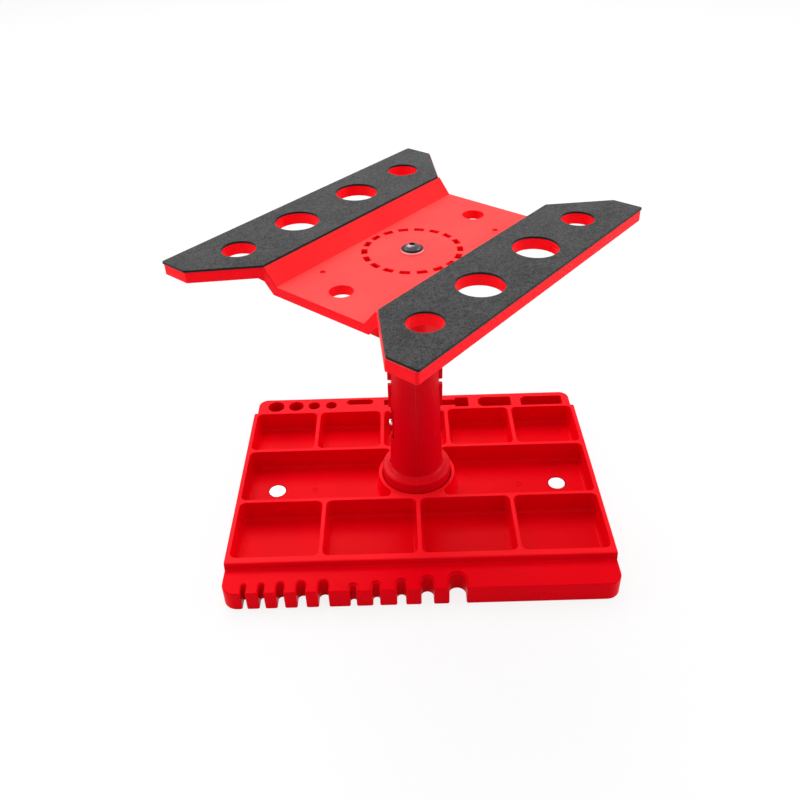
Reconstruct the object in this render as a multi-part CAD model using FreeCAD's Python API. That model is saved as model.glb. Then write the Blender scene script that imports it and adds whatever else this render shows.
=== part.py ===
import FreeCAD, Part
import math
import os
from FreeCAD import Vector

# Work stand for radio-controlled cars: a compartment tray, a post, a notched mast that slides
# in the post, and a turning platform. Millimetres, +Z up, +Y to the back. The origin is on the
# floor under the axis of the post.

# General clearances
RUNNING_GAP = 0.1
SLIDING_GAP = 0.15
LOOSE_GAP = 0.3
SCREW_GAP = 0.05
OVERCUT = 1.0

# Tray body
TRAY_WIDTH = 182.0
TRAY_FRONT = -61.7
TRAY_BACK = 53.0
TRAY_HEIGHT = 14.5
TRAY_FLOOR = 1.8
UNDER_RECESS = 1.2
UNDER_RIM = 2.2
SIDE_RIM = 2.1
FRONT_RIM = 4.1
BACK_RIM = 0.7
FRONT_WALL_LEAN = 0.4
FRONT_WALL_ROUND = 1.0
BODY_CORNER = 1.0
MOUTH_ROUND = 0.4

# Ribs and compartments
RIB = 2.1
BACK_RIB_Y = 19.7
FRONT_RIB_Y = -19.8
BACK_BAYS = 5
FRONT_SIDE_BAY = 41.25
BAY_CORNER = 3.0
BAY_FLOOR_ROUND = 2.0
RING_RADIUS = 19.7
RING_BORE = 17.75
RING_FILLET = 3.0

# Rear strip with tool holes: places are measured from the tray's left side as far as the square
# hole, and from its right side after that
STRIP_INSET = 1.8
STRIP_DEPTH = 12.5
STRIP_CORNER = 5.0
STRIP_HOLE_FLOOR = 1.5
ROUND_HOLE_Y = 59.0
ROUND_HOLES = {11.8: 9.4, 23.3: 8.5, 33.7: 6.9, 43.5: 6.5}
STADIUM_X = (52.3, 67.8)
STADIUM_Y = (59.0, 63.7)
SQUARE_X = (73.9, 79.0)
SQUARE_Y = (57.8, 62.8)
STEP_SLOT_X = (74.6, 59.5)
STEP_SLOT_Y = (54.4, 63.0)
STEP_NECK_LENGTH = 7.4
STEP_NECK_WIDTH = 5.2
MIDDLE_SLOT_X = (54.1, 35.1)
MIDDLE_SLOT_Y = (54.0, 62.6)
LONG_SLOT_X = (29.7, 5.9)
LONG_SLOT_Y = (54.0, 62.3)
SLOT_CHAMFER = 2.2
SLOT_CORNER = 0.8

# Front ledge with open slots: distance from the tray's left side, then width or width and depth
LEDGE_DEPTH = 14.8
LEDGE_HEIGHT = 10.8
LEDGE_CORNER = 6.5
LEDGE_BOTTOM_ROUND = 1.0
SLOT_BOTTOM_ROUND = 0.8
LEDGE_TOP_ROUND = 0.5
PLAIN_SLOTS = {10.1: 2.1, 18.2: 2.6, 26.8: 3.4, 36.3: 4.1, 46.4: 4.7}
PLAIN_SLOT_CENTRE = 4.9
STEPPED_SLOTS = {
    59.9: (2.8, 4.2), 70.4: (3.1, 5.0), 81.8: (4.0, 6.0), 93.7: (5.6, 7.4), 107.5: (7.8, 9.2),
}
STEP_BORDER = 0.9
STEP_DEPTH = 0.6
CORE_COUNT = 4
CORE_FROM_SLOT = 4.7
CORE_FROM_SIDE = 3.0
CORE_RIB = 2.0
CORE_WALL = 2.2
CORE_SKIN = 2.0

# Magnets and ejector marks in the middle compartments
MAGNET_FROM_SIDE = 17.3
MAGNET_RADIUS = 4.5
MAGNET_THICKNESS = 2.4
MAGNET_GAP = 0.2
MAGNET_BOSS_WALL = 1.8
MAGNET_CHAMFER = 0.3
MARK_FROM_MAGNET = 20.0
MARK_RADIUS = 1.5
MARK_WIDTH = 0.35
MARK_DEPTH = 0.15

# Post
FOOT_RADIUS = 17.45
FOOT_TOP = 20.3
FOOT_ROUND = 1.2
NECK_Z = 22.0
NECK_RADIUS = 13.3
NECK_MID = (14.25, 20.9)
POST_TAPER = 0.0325
POST_EDGE_ROUND = 0.4
CHAMBER_RADIUS = 10.0
PEG_RADIUS = 0.8
PEG_LENGTH = 2.5
PEG_COUNT = 3
PEG_BOTTOM_Z = 36.0
PEG_SPACING = 24.0
LOBE_HALF_WIDTH = 6.0
LOBE_BACK = 17.6
LOBE_ROUND = 2.0
LOBE_BOTTOM = 27.0
LOBE_LENGTH = 39.0
LOBE_SCREW_INSET = 7.0

# Mast: a flat bar with notched edges and round guide discs
BAR_HALF_WIDTH = 13.2
BAR_THICKNESS = 2.4
BAR_EDGE_CHAMFER = 0.3
GUIDE_RADIUS = 7.7
CROSS_RIB = 3.0
MAST_BOTTOM = 37.5
MAST_LENGTH = 91.5
MAST_BLOCK = 14.0
GUIDE_DISC = 2.5
GUIDE_COUNT = 4
NOTCH_Z = 55.2
NOTCH_PITCH = 16.1
NOTCH_COUNT = 4
NOTCH_HEIGHT = 3.0
NOTCH_DEPTH = 2.8
NOTCH_SLOPE = 0.4
STEPS_UP = 1
STEPS_DOWN = 2
JOURNAL_RADIUS = 5.2
JOURNAL_SHORT = 0.2

# Stop under the mast
STOP_RADIUS = 9.5
STOP_THICKNESS = 1.0
STOP_SCREW_LENGTH = 12.0

# Springy catch on the left of the post
CATCH_THICKNESS = 0.8
CATCH_FACE_X = 10.8
CATCH_WIDTH = 4.0
CATCH_BOTTOM = 41.0
CATCH_BEND_Z = 44.6
CATCH_TAB_OUT = 1.2
CATCH_ABOVE_NOTCH = 2.6
CATCH_TONGUE = 2.4
CATCH_TONGUE_REACH = 2.8
CATCH_SCREW_Z = 49.5
CATCH_SEAT_MARGIN = 0.3

# Small screws
M3_RADIUS = 1.5
M3_HEAD_RADIUS = 2.8
M3_PAN_RADIUS = 2.8
M3_PAN_HEIGHT = 2.1
FOOT_SCREW_RING = 13.6
FOOT_SCREW_LENGTH = 11.0
POST_SCREW_LENGTH = 9.0
CATCH_SCREW_RADIUS = 1.1
CATCH_SCREW_LENGTH = 1.6
CATCH_HEAD_RADIUS = 1.9
CATCH_HEAD_HEIGHT = 1.4
CROSS_SLOT_WIDTH = 0.7
CROSS_SLOT_DEPTH = 0.8

# Foot plate under the tray
FOOT_PLATE_RADIUS = 16.6
FOOT_PLATE_THICKNESS = 1.0

# Turning joint on top of the mast
FRICTION_THICKNESS = 0.8
FRICTION_RADIUS = 9.8
SPRING_HEIGHT = 1.5
SPRING_SHEET = 0.5
SPRING_RADIUS = 9.4
M4_RADIUS = 2.0
M4_HEAD_RADIUS = 3.8
M4_HEAD_HEIGHT = 2.2
M4_HEAD_EDGE = 0.4
M4_SOCKET = 2.5
M4_SOCKET_DEPTH = 1.3
M4_LENGTH = 12.0
WASHER_RADIUS = 4.9
WASHER_THICKNESS = 0.9
INSERT_RADIUS = 2.8
INSERT_LENGTH = 8.5
INSERT_GROOVE = 0.35

# Hub under the platform
HUB_WEB = 4.7
HUB_FLANGE = 2.0
HUB_FLANGE_RADIUS = 24.5
HUB_HALF_SIDE = 16.0
HUB_CORNER = 5.0
HUB_BORE = 14.2
HUB_SKIRT_LENGTH = 35.0
TAB_COUNT = 18
TAB_ANGLE = 12.5
TAB_INNER = 19.35
TAB_OUTER = 22.0
TAB_BELOW_TOP = 1.6

# Platform: U runs along the wings, V across them
PLATFORM_TURN = 40.0
CENTRE_THICKNESS = 4.2
CENTRE_HALF_V = 23.5
CENTRE_HALF_U = 58.5
RAMP_RISE = 7.0
RAMP_RUN = 5.9
RAMP_UNDER_SHIFT = 2.1
WING_THICKNESS = 4.9
WING_HALF_V = 66.3
WING_HALF_U = 80.3
WING_END_V = 52.1
WING_CORNER = 1.2
WING_SOFT_CORNER = 1.0
WING_HOLE_V = 49.1
WING_HOLES = {54.1: 7.25, 19.75: 9.75}
WING_SKIN = 2.2
WING_WALL = 2.2
WING_BOSS_WALL = 1.8
WING_RIB = 1.8
CENTRE_SKIN = 2.2
CENTRE_HOLE_U = 45.25
CENTRE_HOLE_RADIUS = 5.0
CENTRE_BOSS_WALL = 2.0
DIMPLE_U = 37.6
DIMPLE_V = 17.5
DIMPLE_RADIUS = 1.3
DIMPLE_FLAT = 0.9
DIMPLE_DEPTH = 0.8
FOAM_THICKNESS = 0.9
FOAM_INSET = 0.0
FOAM_CORNER = 1.0
FOAM_SHIFT = {1: 0.7, -1: -0.5}
FOAM_RAMP_INSET = 0.5

# Heights and places that follow from the sizes above
FLOOR_Z = UNDER_RECESS + TRAY_FLOOR
TRAY_HALF = TRAY_WIDTH / 2
INNER_HALF = TRAY_HALF - SIDE_RIM
LEDGE_FRONT = TRAY_FRONT - LEDGE_DEPTH
MAGNET_X = TRAY_HALF - MAGNET_FROM_SIDE
MARK_X = MAGNET_X - MARK_FROM_MAGNET
LIFT_UP = STEPS_UP * NOTCH_PITCH
LIFT_DOWN = STEPS_DOWN * NOTCH_PITCH
SHOULDER_Z = MAST_BOTTOM + MAST_LENGTH
FRICTION_TOP = SHOULDER_Z + FRICTION_THICKNESS
WEB_Z = FRICTION_TOP + SPRING_HEIGHT
CENTRE_UNDER = WEB_Z + HUB_WEB
CENTRE_TOP = CENTRE_UNDER + CENTRE_THICKNESS
WING_TOP = CENTRE_TOP + RAMP_RISE
WING_UNDER = WING_TOP - WING_THICKNESS
WING_INNER_V = CENTRE_HALF_V + RAMP_RUN
POST_TOP = SHOULDER_Z - LIFT_DOWN - LOOSE_GAP
CHAMBER_TOP = MAST_BOTTOM + LIFT_UP + SLIDING_GAP
POST_BORE = GUIDE_RADIUS + RUNNING_GAP
SLOT_HALF_X = BAR_HALF_WIDTH + LOOSE_GAP
SLOT_HALF_Y = BAR_THICKNESS / 2 + SLIDING_GAP
HUB_BOTTOM = CENTRE_UNDER - HUB_SKIRT_LENGTH
CATCH_INNER_Y = -(SLOT_HALF_Y + CATCH_SEAT_MARGIN)
CATCH_OUTER_Y = CATCH_INNER_Y - CATCH_WIDTH
CATCH_MID_Y = (CATCH_INNER_Y + CATCH_OUTER_Y) / 2
Z_AXIS = Vector(0, 0, 1)
X_AXIS = Vector(1, 0, 0)
ORIGIN = Vector(0, 0, 0)


def block(x_range, y_range, z_range):
    """A box between the given limits."""
    corner = Vector(x_range[0], y_range[0], z_range[0])
    size = [high - low for low, high in (x_range, y_range, z_range)]
    return Part.makeBox(size[0], size[1], size[2], corner)


def cylinder(radius, z_range, x=0.0, y=0.0):
    """An upright cylinder."""
    return Part.makeCylinder(radius, z_range[1] - z_range[0], Vector(x, y, z_range[0]), Z_AXIS)


def tube(outer, inner, z_range, x=0.0, y=0.0):
    """An upright ring with a round hole."""
    overcut = (z_range[0] - OVERCUT, z_range[1] + OVERCUT)
    return cylinder(outer, z_range, x, y).cut(cylinder(inner, overcut, x, y))


def prism(points, z_range):
    """An upright prism on a polygon of (x, y) points."""
    corners = [Vector(x, y, z_range[0]) for x, y in points]
    face = Part.Face(Part.makePolygon(corners + corners[:1]))
    return face.extrude(Vector(0, 0, z_range[1] - z_range[0]))


def revolved(profile):
    """A solid of revolution about Z, from (radius, z) points."""
    corners = [Vector(radius, 0, z) for radius, z in profile]
    face = Part.Face(Part.makePolygon(corners + corners[:1]))
    return face.revolve(ORIGIN, Z_AXIS, 360)


def upright_edges(shape, test=None):
    """The straight vertical edges, or those whose (x, y) passes the test."""
    found = []
    for edge in shape.Edges:
        if len(edge.Vertexes) != 2:
            continue
        first, last = [vertex.Point for vertex in edge.Vertexes]
        is_upright = abs(first.x - last.x) + abs(first.y - last.y) < 1e-6
        if is_upright and (test is None or test(first.x, first.y)):
            found.append(edge)
    return found


def edges_at(shape, z, test=None):
    """The edges that lie at one height, or those whose box passes the test."""
    found = []
    for edge in shape.Edges:
        box = edge.BoundBox
        if abs(box.ZMin - z) < 1e-4 and abs(box.ZMax - z) < 1e-4:
            if test is None or test(box):
                found.append(edge)
    return found


def countersunk_screw(z, length, gap=0.0):
    """A screw that points up, head face at z; a gap makes its hole."""
    head = M3_HEAD_RADIUS + gap
    shank = M3_RADIUS + gap
    cone_end = z + M3_HEAD_RADIUS - M3_RADIUS
    profile = [(0, z), (head, z), (shank, cone_end), (shank, z + length), (0, z + length)]
    return revolved(profile)


def cross_recess(radius, z_top):
    """The cross cut in a pan head, as a tool."""
    z_range = (z_top - CROSS_SLOT_DEPTH, z_top + OVERCUT)
    half = CROSS_SLOT_WIDTH / 2
    arm = radius * 0.62
    return block((-arm, arm), (-half, half), z_range).fuse(block((-half, half), (-arm, arm), z_range))


def pan_screw(shank, head, head_height, length):
    """A pan-head screw with its head's seat at z 0 and its shank below."""
    bevel = head_height * 0.4
    profile = [(0, -length), (shank, -length), (shank, 0), (head, 0), (head, head_height - bevel)]
    profile += [(head - bevel, head_height), (0, head_height)]
    return revolved(profile).cut(cross_recess(head, head_height))


def bay_tool(x_range, y_range):
    """The space of one rectangular compartment."""
    tool = block(x_range, y_range, (FLOOR_Z, TRAY_HEIGHT + OVERCUT))
    tool = tool.makeFillet(BAY_CORNER, upright_edges(tool))
    return tool.makeFillet(BAY_FLOOR_ROUND, edges_at(tool, FLOOR_Z))


def ring_bay_tool(side):
    """The space of a middle compartment, whose inner end follows the ring; side is -1 or 1."""
    y_low = FRONT_RIB_Y + RIB / 2
    y_high = BACK_RIB_Y - RIB / 2
    reach = RING_RADIUS + RING_FILLET
    share = RING_RADIUS / reach

    def fillet_centre(y_wall, inward):
        y = y_wall + inward * RING_FILLET
        return Vector(side * math.sqrt(reach * reach - y * y), y, FLOOR_Z)

    high = fillet_centre(y_high, -1)
    low = fillet_centre(y_low, 1)

    def on_ring(centre):
        return Vector(centre.x * share, centre.y * share, FLOOR_Z)

    def on_fillet(centre, wall_sign):
        towards_ring = Vector(-centre.x, -centre.y, 0).normalize()
        middle = towards_ring.add(Vector(0, wall_sign, 0)).normalize()
        return centre.add(middle.multiply(RING_FILLET))

    far = side * INNER_HALF
    wall_high = Vector(high.x, y_high, FLOOR_Z)
    wall_low = Vector(low.x, y_low, FLOOR_Z)
    corner_high = Vector(far, y_high, FLOOR_Z)
    corner_low = Vector(far, y_low, FLOOR_Z)
    edges = [
        Part.LineSegment(wall_high, corner_high).toShape(),
        Part.LineSegment(corner_high, corner_low).toShape(),
        Part.LineSegment(corner_low, wall_low).toShape(),
        Part.Arc(wall_low, on_fillet(low, -1), on_ring(low)).toShape(),
        Part.Arc(on_ring(low), Vector(side * RING_RADIUS, 0, FLOOR_Z), on_ring(high)).toShape(),
        Part.Arc(on_ring(high), on_fillet(high, 1), wall_high).toShape(),
    ]
    face = Part.Face(Part.Wire(edges))
    tool = face.extrude(Vector(0, 0, TRAY_HEIGHT + OVERCUT - FLOOR_Z))
    outer = upright_edges(tool, lambda x, y: abs(abs(x) - INNER_HALF) < 1e-6)
    tool = tool.makeFillet(BAY_CORNER, outer)
    return tool.makeFillet(BAY_FLOOR_ROUND, edges_at(tool, FLOOR_Z))


def tray_body():
    """The outer block of the tray with its strip and ledge, before anything is cut."""
    body = block((-TRAY_HALF, TRAY_HALF), (TRAY_FRONT, TRAY_BACK), (0, TRAY_HEIGHT))
    body = body.makeFillet(BODY_CORNER, upright_edges(body, lambda x, y: y > 0))
    lean_top = TRAY_FRONT + FRONT_WALL_LEAN
    wedge_points = [
        Vector(-TRAY_HALF - OVERCUT, TRAY_FRONT, LEDGE_HEIGHT),
        Vector(-TRAY_HALF - OVERCUT, lean_top, TRAY_HEIGHT),
        Vector(-TRAY_HALF - OVERCUT, TRAY_FRONT, TRAY_HEIGHT),
    ]
    wedge = Part.Face(Part.makePolygon(wedge_points + wedge_points[:1]))
    body = body.cut(wedge.extrude(Vector(TRAY_WIDTH + 2 * OVERCUT, 0, 0)))
    front_edge = edges_at(body, TRAY_HEIGHT, lambda box: box.YMax < TRAY_FRONT + OVERCUT)
    body = body.makeFillet(FRONT_WALL_ROUND, front_edge)

    strip_half = TRAY_HALF - STRIP_INSET
    strip_back = TRAY_BACK + STRIP_DEPTH
    strip = block((-strip_half, strip_half), (TRAY_BACK - BAY_CORNER, strip_back), (0, TRAY_HEIGHT))
    strip = strip.makeFillet(STRIP_CORNER, upright_edges(strip, lambda x, y: y > TRAY_BACK))

    ledge = block((-TRAY_HALF, TRAY_HALF), (LEDGE_FRONT, TRAY_FRONT + FRONT_RIM), (0, LEDGE_HEIGHT))
    ledge = ledge.makeFillet(LEDGE_CORNER, upright_edges(ledge, lambda x, y: y < TRAY_FRONT))

    def on_front(box):
        return box.YMin < TRAY_FRONT - OVERCUT

    ledge = ledge.makeFillet(LEDGE_BOTTOM_ROUND, edges_at(ledge, 0, on_front))
    ledge = ledge.makeFillet(LEDGE_TOP_ROUND, edges_at(ledge, LEDGE_HEIGHT, on_front))
    return body.fuse([strip, ledge, wall_foot()]).removeSplitter()


def wall_foot():
    """The hollow fillet where the front wall meets the ledge."""
    x = -TRAY_HALF + LEDGE_TOP_ROUND
    low = LEDGE_HEIGHT
    high = LEDGE_HEIGHT + FRONT_WALL_ROUND
    out_y = TRAY_FRONT - FRONT_WALL_ROUND
    centre = Vector(x, out_y, high)
    slant = FRONT_WALL_ROUND * math.sin(math.radians(45))
    start = Vector(x, out_y, low)
    end = Vector(x, TRAY_FRONT, high)
    inner = TRAY_FRONT + FRONT_WALL_LEAN
    edges = [
        Part.Arc(start, centre.add(Vector(0, slant, -slant)), end),
        Part.LineSegment(end, Vector(x, inner, high)),
        Part.LineSegment(Vector(x, inner, high), Vector(x, inner, low - OVERCUT)),
        Part.LineSegment(Vector(x, inner, low - OVERCUT), Vector(x, out_y, low - OVERCUT)),
        Part.LineSegment(Vector(x, out_y, low - OVERCUT), start),
    ]
    face = Part.Face(Part.Wire([edge.toShape() for edge in edges]))
    return face.extrude(Vector(-2 * x, 0, 0))


def compartment_tools():
    """The eleven compartments in their three rows."""
    tools = []
    span = 2 * INNER_HALF
    bay = (span - (BACK_BAYS - 1) * RIB) / BACK_BAYS
    for index in range(BACK_BAYS):
        x = -INNER_HALF + index * (bay + RIB)
        tools.append(bay_tool((x, x + bay), (BACK_RIB_Y + RIB / 2, TRAY_BACK - BACK_RIM)))
    front_y = (TRAY_FRONT + FRONT_RIM, FRONT_RIB_Y - RIB / 2)
    inner_x = INNER_HALF - FRONT_SIDE_BAY
    for side in (-1, 1):
        outer_bay = sorted((side * INNER_HALF, side * inner_x))
        inner_bay = sorted((side * (inner_x - RIB), side * RIB / 2))
        tools.append(bay_tool(outer_bay, front_y))
        tools.append(bay_tool(inner_bay, front_y))
        tools.append(ring_bay_tool(side))
    return tools


def stadium_tool(x_range, y_range, z_range):
    """A slot with half-round ends, along X."""
    radius = (y_range[1] - y_range[0]) / 2
    y = (y_range[0] + y_range[1]) / 2
    middle = block((x_range[0] + radius, x_range[1] - radius), y_range, z_range)
    ends = [cylinder(radius, z_range, x, y) for x in (x_range[0] + radius, x_range[1] - radius)]
    return middle.fuse(ends).removeSplitter()


def chamfered_slot(x_range, y_range, z_range, front_cut, back_cut):
    """A slot whose left corners may be cut off."""
    low, high = y_range
    points = [(x_range[0] + front_cut, low), (x_range[1], low), (x_range[1], high)]
    points += [(x_range[0] + back_cut, high), (x_range[0], high - back_cut)]
    if front_cut:
        points.append((x_range[0], low + front_cut))
    tool = prism(points, z_range)
    right = upright_edges(tool, lambda x, y: abs(x - x_range[1]) < 1e-6)
    return tool.makeFillet(SLOT_CORNER, right)


def from_left(distance):
    """The X at a distance from the tray's left side."""
    return distance - TRAY_HALF


def from_right(distance):
    """The X at a distance from the tray's right side."""
    return TRAY_HALF - distance


def strip_tools():
    """The tool holes in the rear strip, all blind."""
    z_range = (STRIP_HOLE_FLOOR, TRAY_HEIGHT + OVERCUT)
    tools = []
    for place, size in ROUND_HOLES.items():
        tools.append(cylinder(size / 2, z_range, from_left(place), ROUND_HOLE_Y))
    tools.append(stadium_tool([from_left(x) for x in STADIUM_X], STADIUM_Y, z_range))
    square = block([from_left(x) for x in SQUARE_X], SQUARE_Y, z_range)
    tools.append(square.makeFillet(SLOT_CORNER, upright_edges(square)))
    step_x = [from_right(x) for x in STEP_SLOT_X]
    neck_end = step_x[0] + STEP_NECK_LENGTH
    neck_mid = (STEP_SLOT_Y[0] + STEP_SLOT_Y[1]) / 2
    neck_y = (neck_mid - STEP_NECK_WIDTH / 2, neck_mid + STEP_NECK_WIDTH / 2)
    neck = block((step_x[0], neck_end + OVERCUT), neck_y, z_range)
    wide = block((neck_end, step_x[1]), STEP_SLOT_Y, z_range)
    stepped = neck.fuse(wide).removeSplitter()
    ends = upright_edges(stepped, lambda x, y: min(abs(x - end) for end in step_x) < 1e-6)
    tools.append(stepped.makeFillet(SLOT_CORNER, ends))
    middle_x = [from_right(x) for x in MIDDLE_SLOT_X]
    long_x = [from_right(x) for x in LONG_SLOT_X]
    tools.append(chamfered_slot(middle_x, MIDDLE_SLOT_Y, z_range, SLOT_CHAMFER, SLOT_CHAMFER))
    tools.append(chamfered_slot(long_x, LONG_SLOT_Y, z_range, 0, SLOT_CHAMFER))
    return tools


def ledge_slot(x, width, y_centre, z_range):
    """A slot open to the front with a half-round inner end."""
    radius = width / 2
    straight = block((x - radius, x + radius), (LEDGE_FRONT - OVERCUT, y_centre), z_range)
    return straight.fuse(cylinder(radius, z_range, x, y_centre)).removeSplitter()


def ledge_tools():
    """The open slots of the ledge, plain and stepped."""
    through = (-OVERCUT, LEDGE_HEIGHT + OVERCUT)
    step = (LEDGE_HEIGHT - STEP_DEPTH, LEDGE_HEIGHT + OVERCUT)
    tools = []
    for place, width in PLAIN_SLOTS.items():
        tools.append(ledge_slot(from_left(place), width, LEDGE_FRONT + PLAIN_SLOT_CENTRE, through))
    for place, (width, depth) in STEPPED_SLOTS.items():
        x = from_left(place)
        centre = LEDGE_FRONT + depth - width / 2
        tools.append(ledge_slot(x, width, centre, through))
        tools.append(ledge_slot(x, width + 2 * STEP_BORDER, centre, step))
    return tools


def under_tools():
    """The recess under the tray and the coring pockets under the ledge."""
    half = TRAY_HALF - UNDER_RIM
    recess_y = (TRAY_FRONT + UNDER_RIM, TRAY_BACK - UNDER_RIM)
    recess = block((-half, half), recess_y, (-OVERCUT, UNDER_RECESS))
    boss = MAGNET_RADIUS + MAGNET_GAP + MAGNET_BOSS_WALL
    bosses = [cylinder(boss, (-2 * OVERCUT, UNDER_RECESS), side * MAGNET_X) for side in (-1, 1)]
    tools = [recess.cut(bosses)]
    last_slot = max(STEPPED_SLOTS)
    core_start = from_left(last_slot) + STEPPED_SLOTS[last_slot][0] / 2 + STEP_BORDER + CORE_FROM_SLOT
    pitch = (from_right(CORE_FROM_SIDE) - core_start + CORE_RIB) / CORE_COUNT
    core_y = (LEDGE_FRONT + CORE_WALL, TRAY_FRONT - CORE_WALL)
    for index in range(CORE_COUNT):
        x = core_start + index * pitch
        core = block((x, x + pitch - CORE_RIB), core_y, (-OVERCUT, LEDGE_HEIGHT - CORE_SKIN))
        tools.append(core.makeFillet(OVERCUT, upright_edges(core)))
    return tools


def foot_screw_places():
    """The four foot screws' places about the post's axis."""
    offset = FOOT_SCREW_RING * math.cos(math.radians(45))
    return [Vector(x * offset, y * offset, 0) for x in (-1, 1) for y in (-1, 1)]


def foot_screw_head_z():
    """The height of the foot screws' head faces."""
    return UNDER_RECESS - FOOT_PLATE_THICKNESS


def foot_screw_set(gap=0.0):
    """The four foot screws, or with a gap their holes."""
    screws = []
    for place in foot_screw_places():
        screw = countersunk_screw(foot_screw_head_z(), FOOT_SCREW_LENGTH + gap, gap)
        screw.translate(place)
        screws.append(screw)
    return screws


def make_base_tray():
    """The tray in one moulding."""
    tools = compartment_tools() + strip_tools() + ledge_tools() + under_tools()
    tools.append(cylinder(RING_BORE, (FLOOR_Z, TRAY_HEIGHT + OVERCUT)))
    mark_z = (FLOOR_Z - MARK_DEPTH, FLOOR_Z + OVERCUT)
    pocket_z = (FLOOR_Z - MAGNET_THICKNESS, FLOOR_Z + OVERCUT)
    for side in (-1, 1):
        tools.append(cylinder(MAGNET_RADIUS + MAGNET_GAP, pocket_z, side * MAGNET_X))
        tools.append(tube(MARK_RADIUS, MARK_RADIUS - MARK_WIDTH, mark_z, side * MARK_X))
    tray = tray_body().cut(tools)
    tray = tray.cut(foot_screw_set(SCREW_GAP))

    def is_mouth(box):
        inside = box.XMin > -TRAY_HALF + OVERCUT and box.XMax < TRAY_HALF - OVERCUT
        return inside and box.YMin > TRAY_FRONT + OVERCUT + FRONT_WALL_ROUND and box.YMax < TRAY_BACK

    tray = tray.makeFillet(MOUTH_ROUND, edges_at(tray, TRAY_HEIGHT, is_mouth))
    last_slot = from_left(max(STEPPED_SLOTS)) + LEDGE_DEPTH / 2

    def is_slot_foot(box):
        return box.YMax < TRAY_FRONT and box.XMax < last_slot and box.YMin > LEDGE_FRONT + SLOT_BOTTOM_ROUND / 2

    return tray.makeFillet(SLOT_BOTTOM_ROUND, edges_at(tray, 0, is_slot_foot))


def make_magnet(side):
    """A disc magnet, flush in the floor of a middle compartment."""
    disc = cylinder(MAGNET_RADIUS, (FLOOR_Z - MAGNET_THICKNESS, FLOOR_Z), side * MAGNET_X)
    return disc.makeChamfer(MAGNET_CHAMFER, edges_at(disc, FLOOR_Z))


def make_foot_plate():
    """The steel disc under the tray that the foot screws pull against."""
    plate = cylinder(FOOT_PLATE_RADIUS, (foot_screw_head_z(), UNDER_RECESS))
    return plate.cut(foot_screw_set(SCREW_GAP))


def post_radius(z):
    """The tapered outer radius of the post at a height."""
    return NECK_RADIUS - POST_TAPER * (z - NECK_Z)


def post_blank():
    """The post as one piece of revolution: foot, hollow flare and taper."""
    foot_inner = FOOT_RADIUS - FOOT_ROUND
    round_z = FOOT_TOP - FOOT_ROUND
    slant = FOOT_ROUND * math.sin(math.radians(45))
    round_mid = Vector(foot_inner + slant, 0, round_z + slant)
    flare_mid = Vector(NECK_MID[0], 0, NECK_MID[1])
    neck = Vector(NECK_RADIUS, 0, NECK_Z)
    top = Vector(post_radius(POST_TOP), 0, POST_TOP)
    edges = [
        Part.LineSegment(Vector(0, 0, FLOOR_Z), Vector(FOOT_RADIUS, 0, FLOOR_Z)),
        Part.LineSegment(Vector(FOOT_RADIUS, 0, FLOOR_Z), Vector(FOOT_RADIUS, 0, round_z)),
        Part.Arc(Vector(FOOT_RADIUS, 0, round_z), round_mid, Vector(foot_inner, 0, FOOT_TOP)),
        Part.Arc(Vector(foot_inner, 0, FOOT_TOP), flare_mid, neck),
        Part.LineSegment(neck, top),
        Part.LineSegment(top, Vector(0, 0, POST_TOP)),
        Part.LineSegment(Vector(0, 0, POST_TOP), Vector(0, 0, FLOOR_Z)),
    ]
    face = Part.Face(Part.Wire([edge.toShape() for edge in edges]))
    blank = face.revolve(ORIGIN, Z_AXIS, 360)
    return blank.makeFillet(POST_EDGE_ROUND, edges_at(blank, POST_TOP))


def peg_places():
    """The front pegs' (y, z) places, in the middle of the wall."""
    places = []
    for index in range(PEG_COUNT):
        z = PEG_BOTTOM_Z + index * PEG_SPACING
        inner = CHAMBER_RADIUS if z < CHAMBER_TOP + PEG_RADIUS else POST_BORE
        places.append((-(inner + post_radius(z)) / 2, z))
    return places


def peg(place, radius, length):
    """A peg along -X from the parting plane."""
    return Part.makeCylinder(radius, length, Vector(0, place[0], place[1]), Vector(-1, 0, 0))


def lobe_screw_places():
    """The post screws' (y, z) places in the rear lobe."""
    y = (post_radius(LOBE_BOTTOM) + LOBE_BACK) / 2
    return [(y, LOBE_BOTTOM + LOBE_SCREW_INSET), (y, LOBE_BOTTOM + LOBE_LENGTH - LOBE_SCREW_INSET)]


def post_screw(place, gap=0.0):
    """A screw through the rear lobe, with its head on the left; a gap makes its hole."""
    screw = pan_screw(M3_RADIUS, M3_PAN_RADIUS, M3_PAN_HEIGHT, POST_SCREW_LENGTH)
    if gap:
        shank = Part.makeCylinder(M3_RADIUS + gap, POST_SCREW_LENGTH + gap, ORIGIN, Vector(0, 0, -1))
        head = Part.makeCylinder(M3_PAN_RADIUS + LOOSE_GAP, M3_PAN_HEIGHT + OVERCUT, ORIGIN, Z_AXIS)
        screw = shank.fuse(head)
    screw.rotate(ORIGIN, Vector(0, 1, 0), -90)
    screw.translate(Vector(-LOBE_HALF_WIDTH + M3_PAN_HEIGHT, place[0], place[1]))
    return screw


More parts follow.
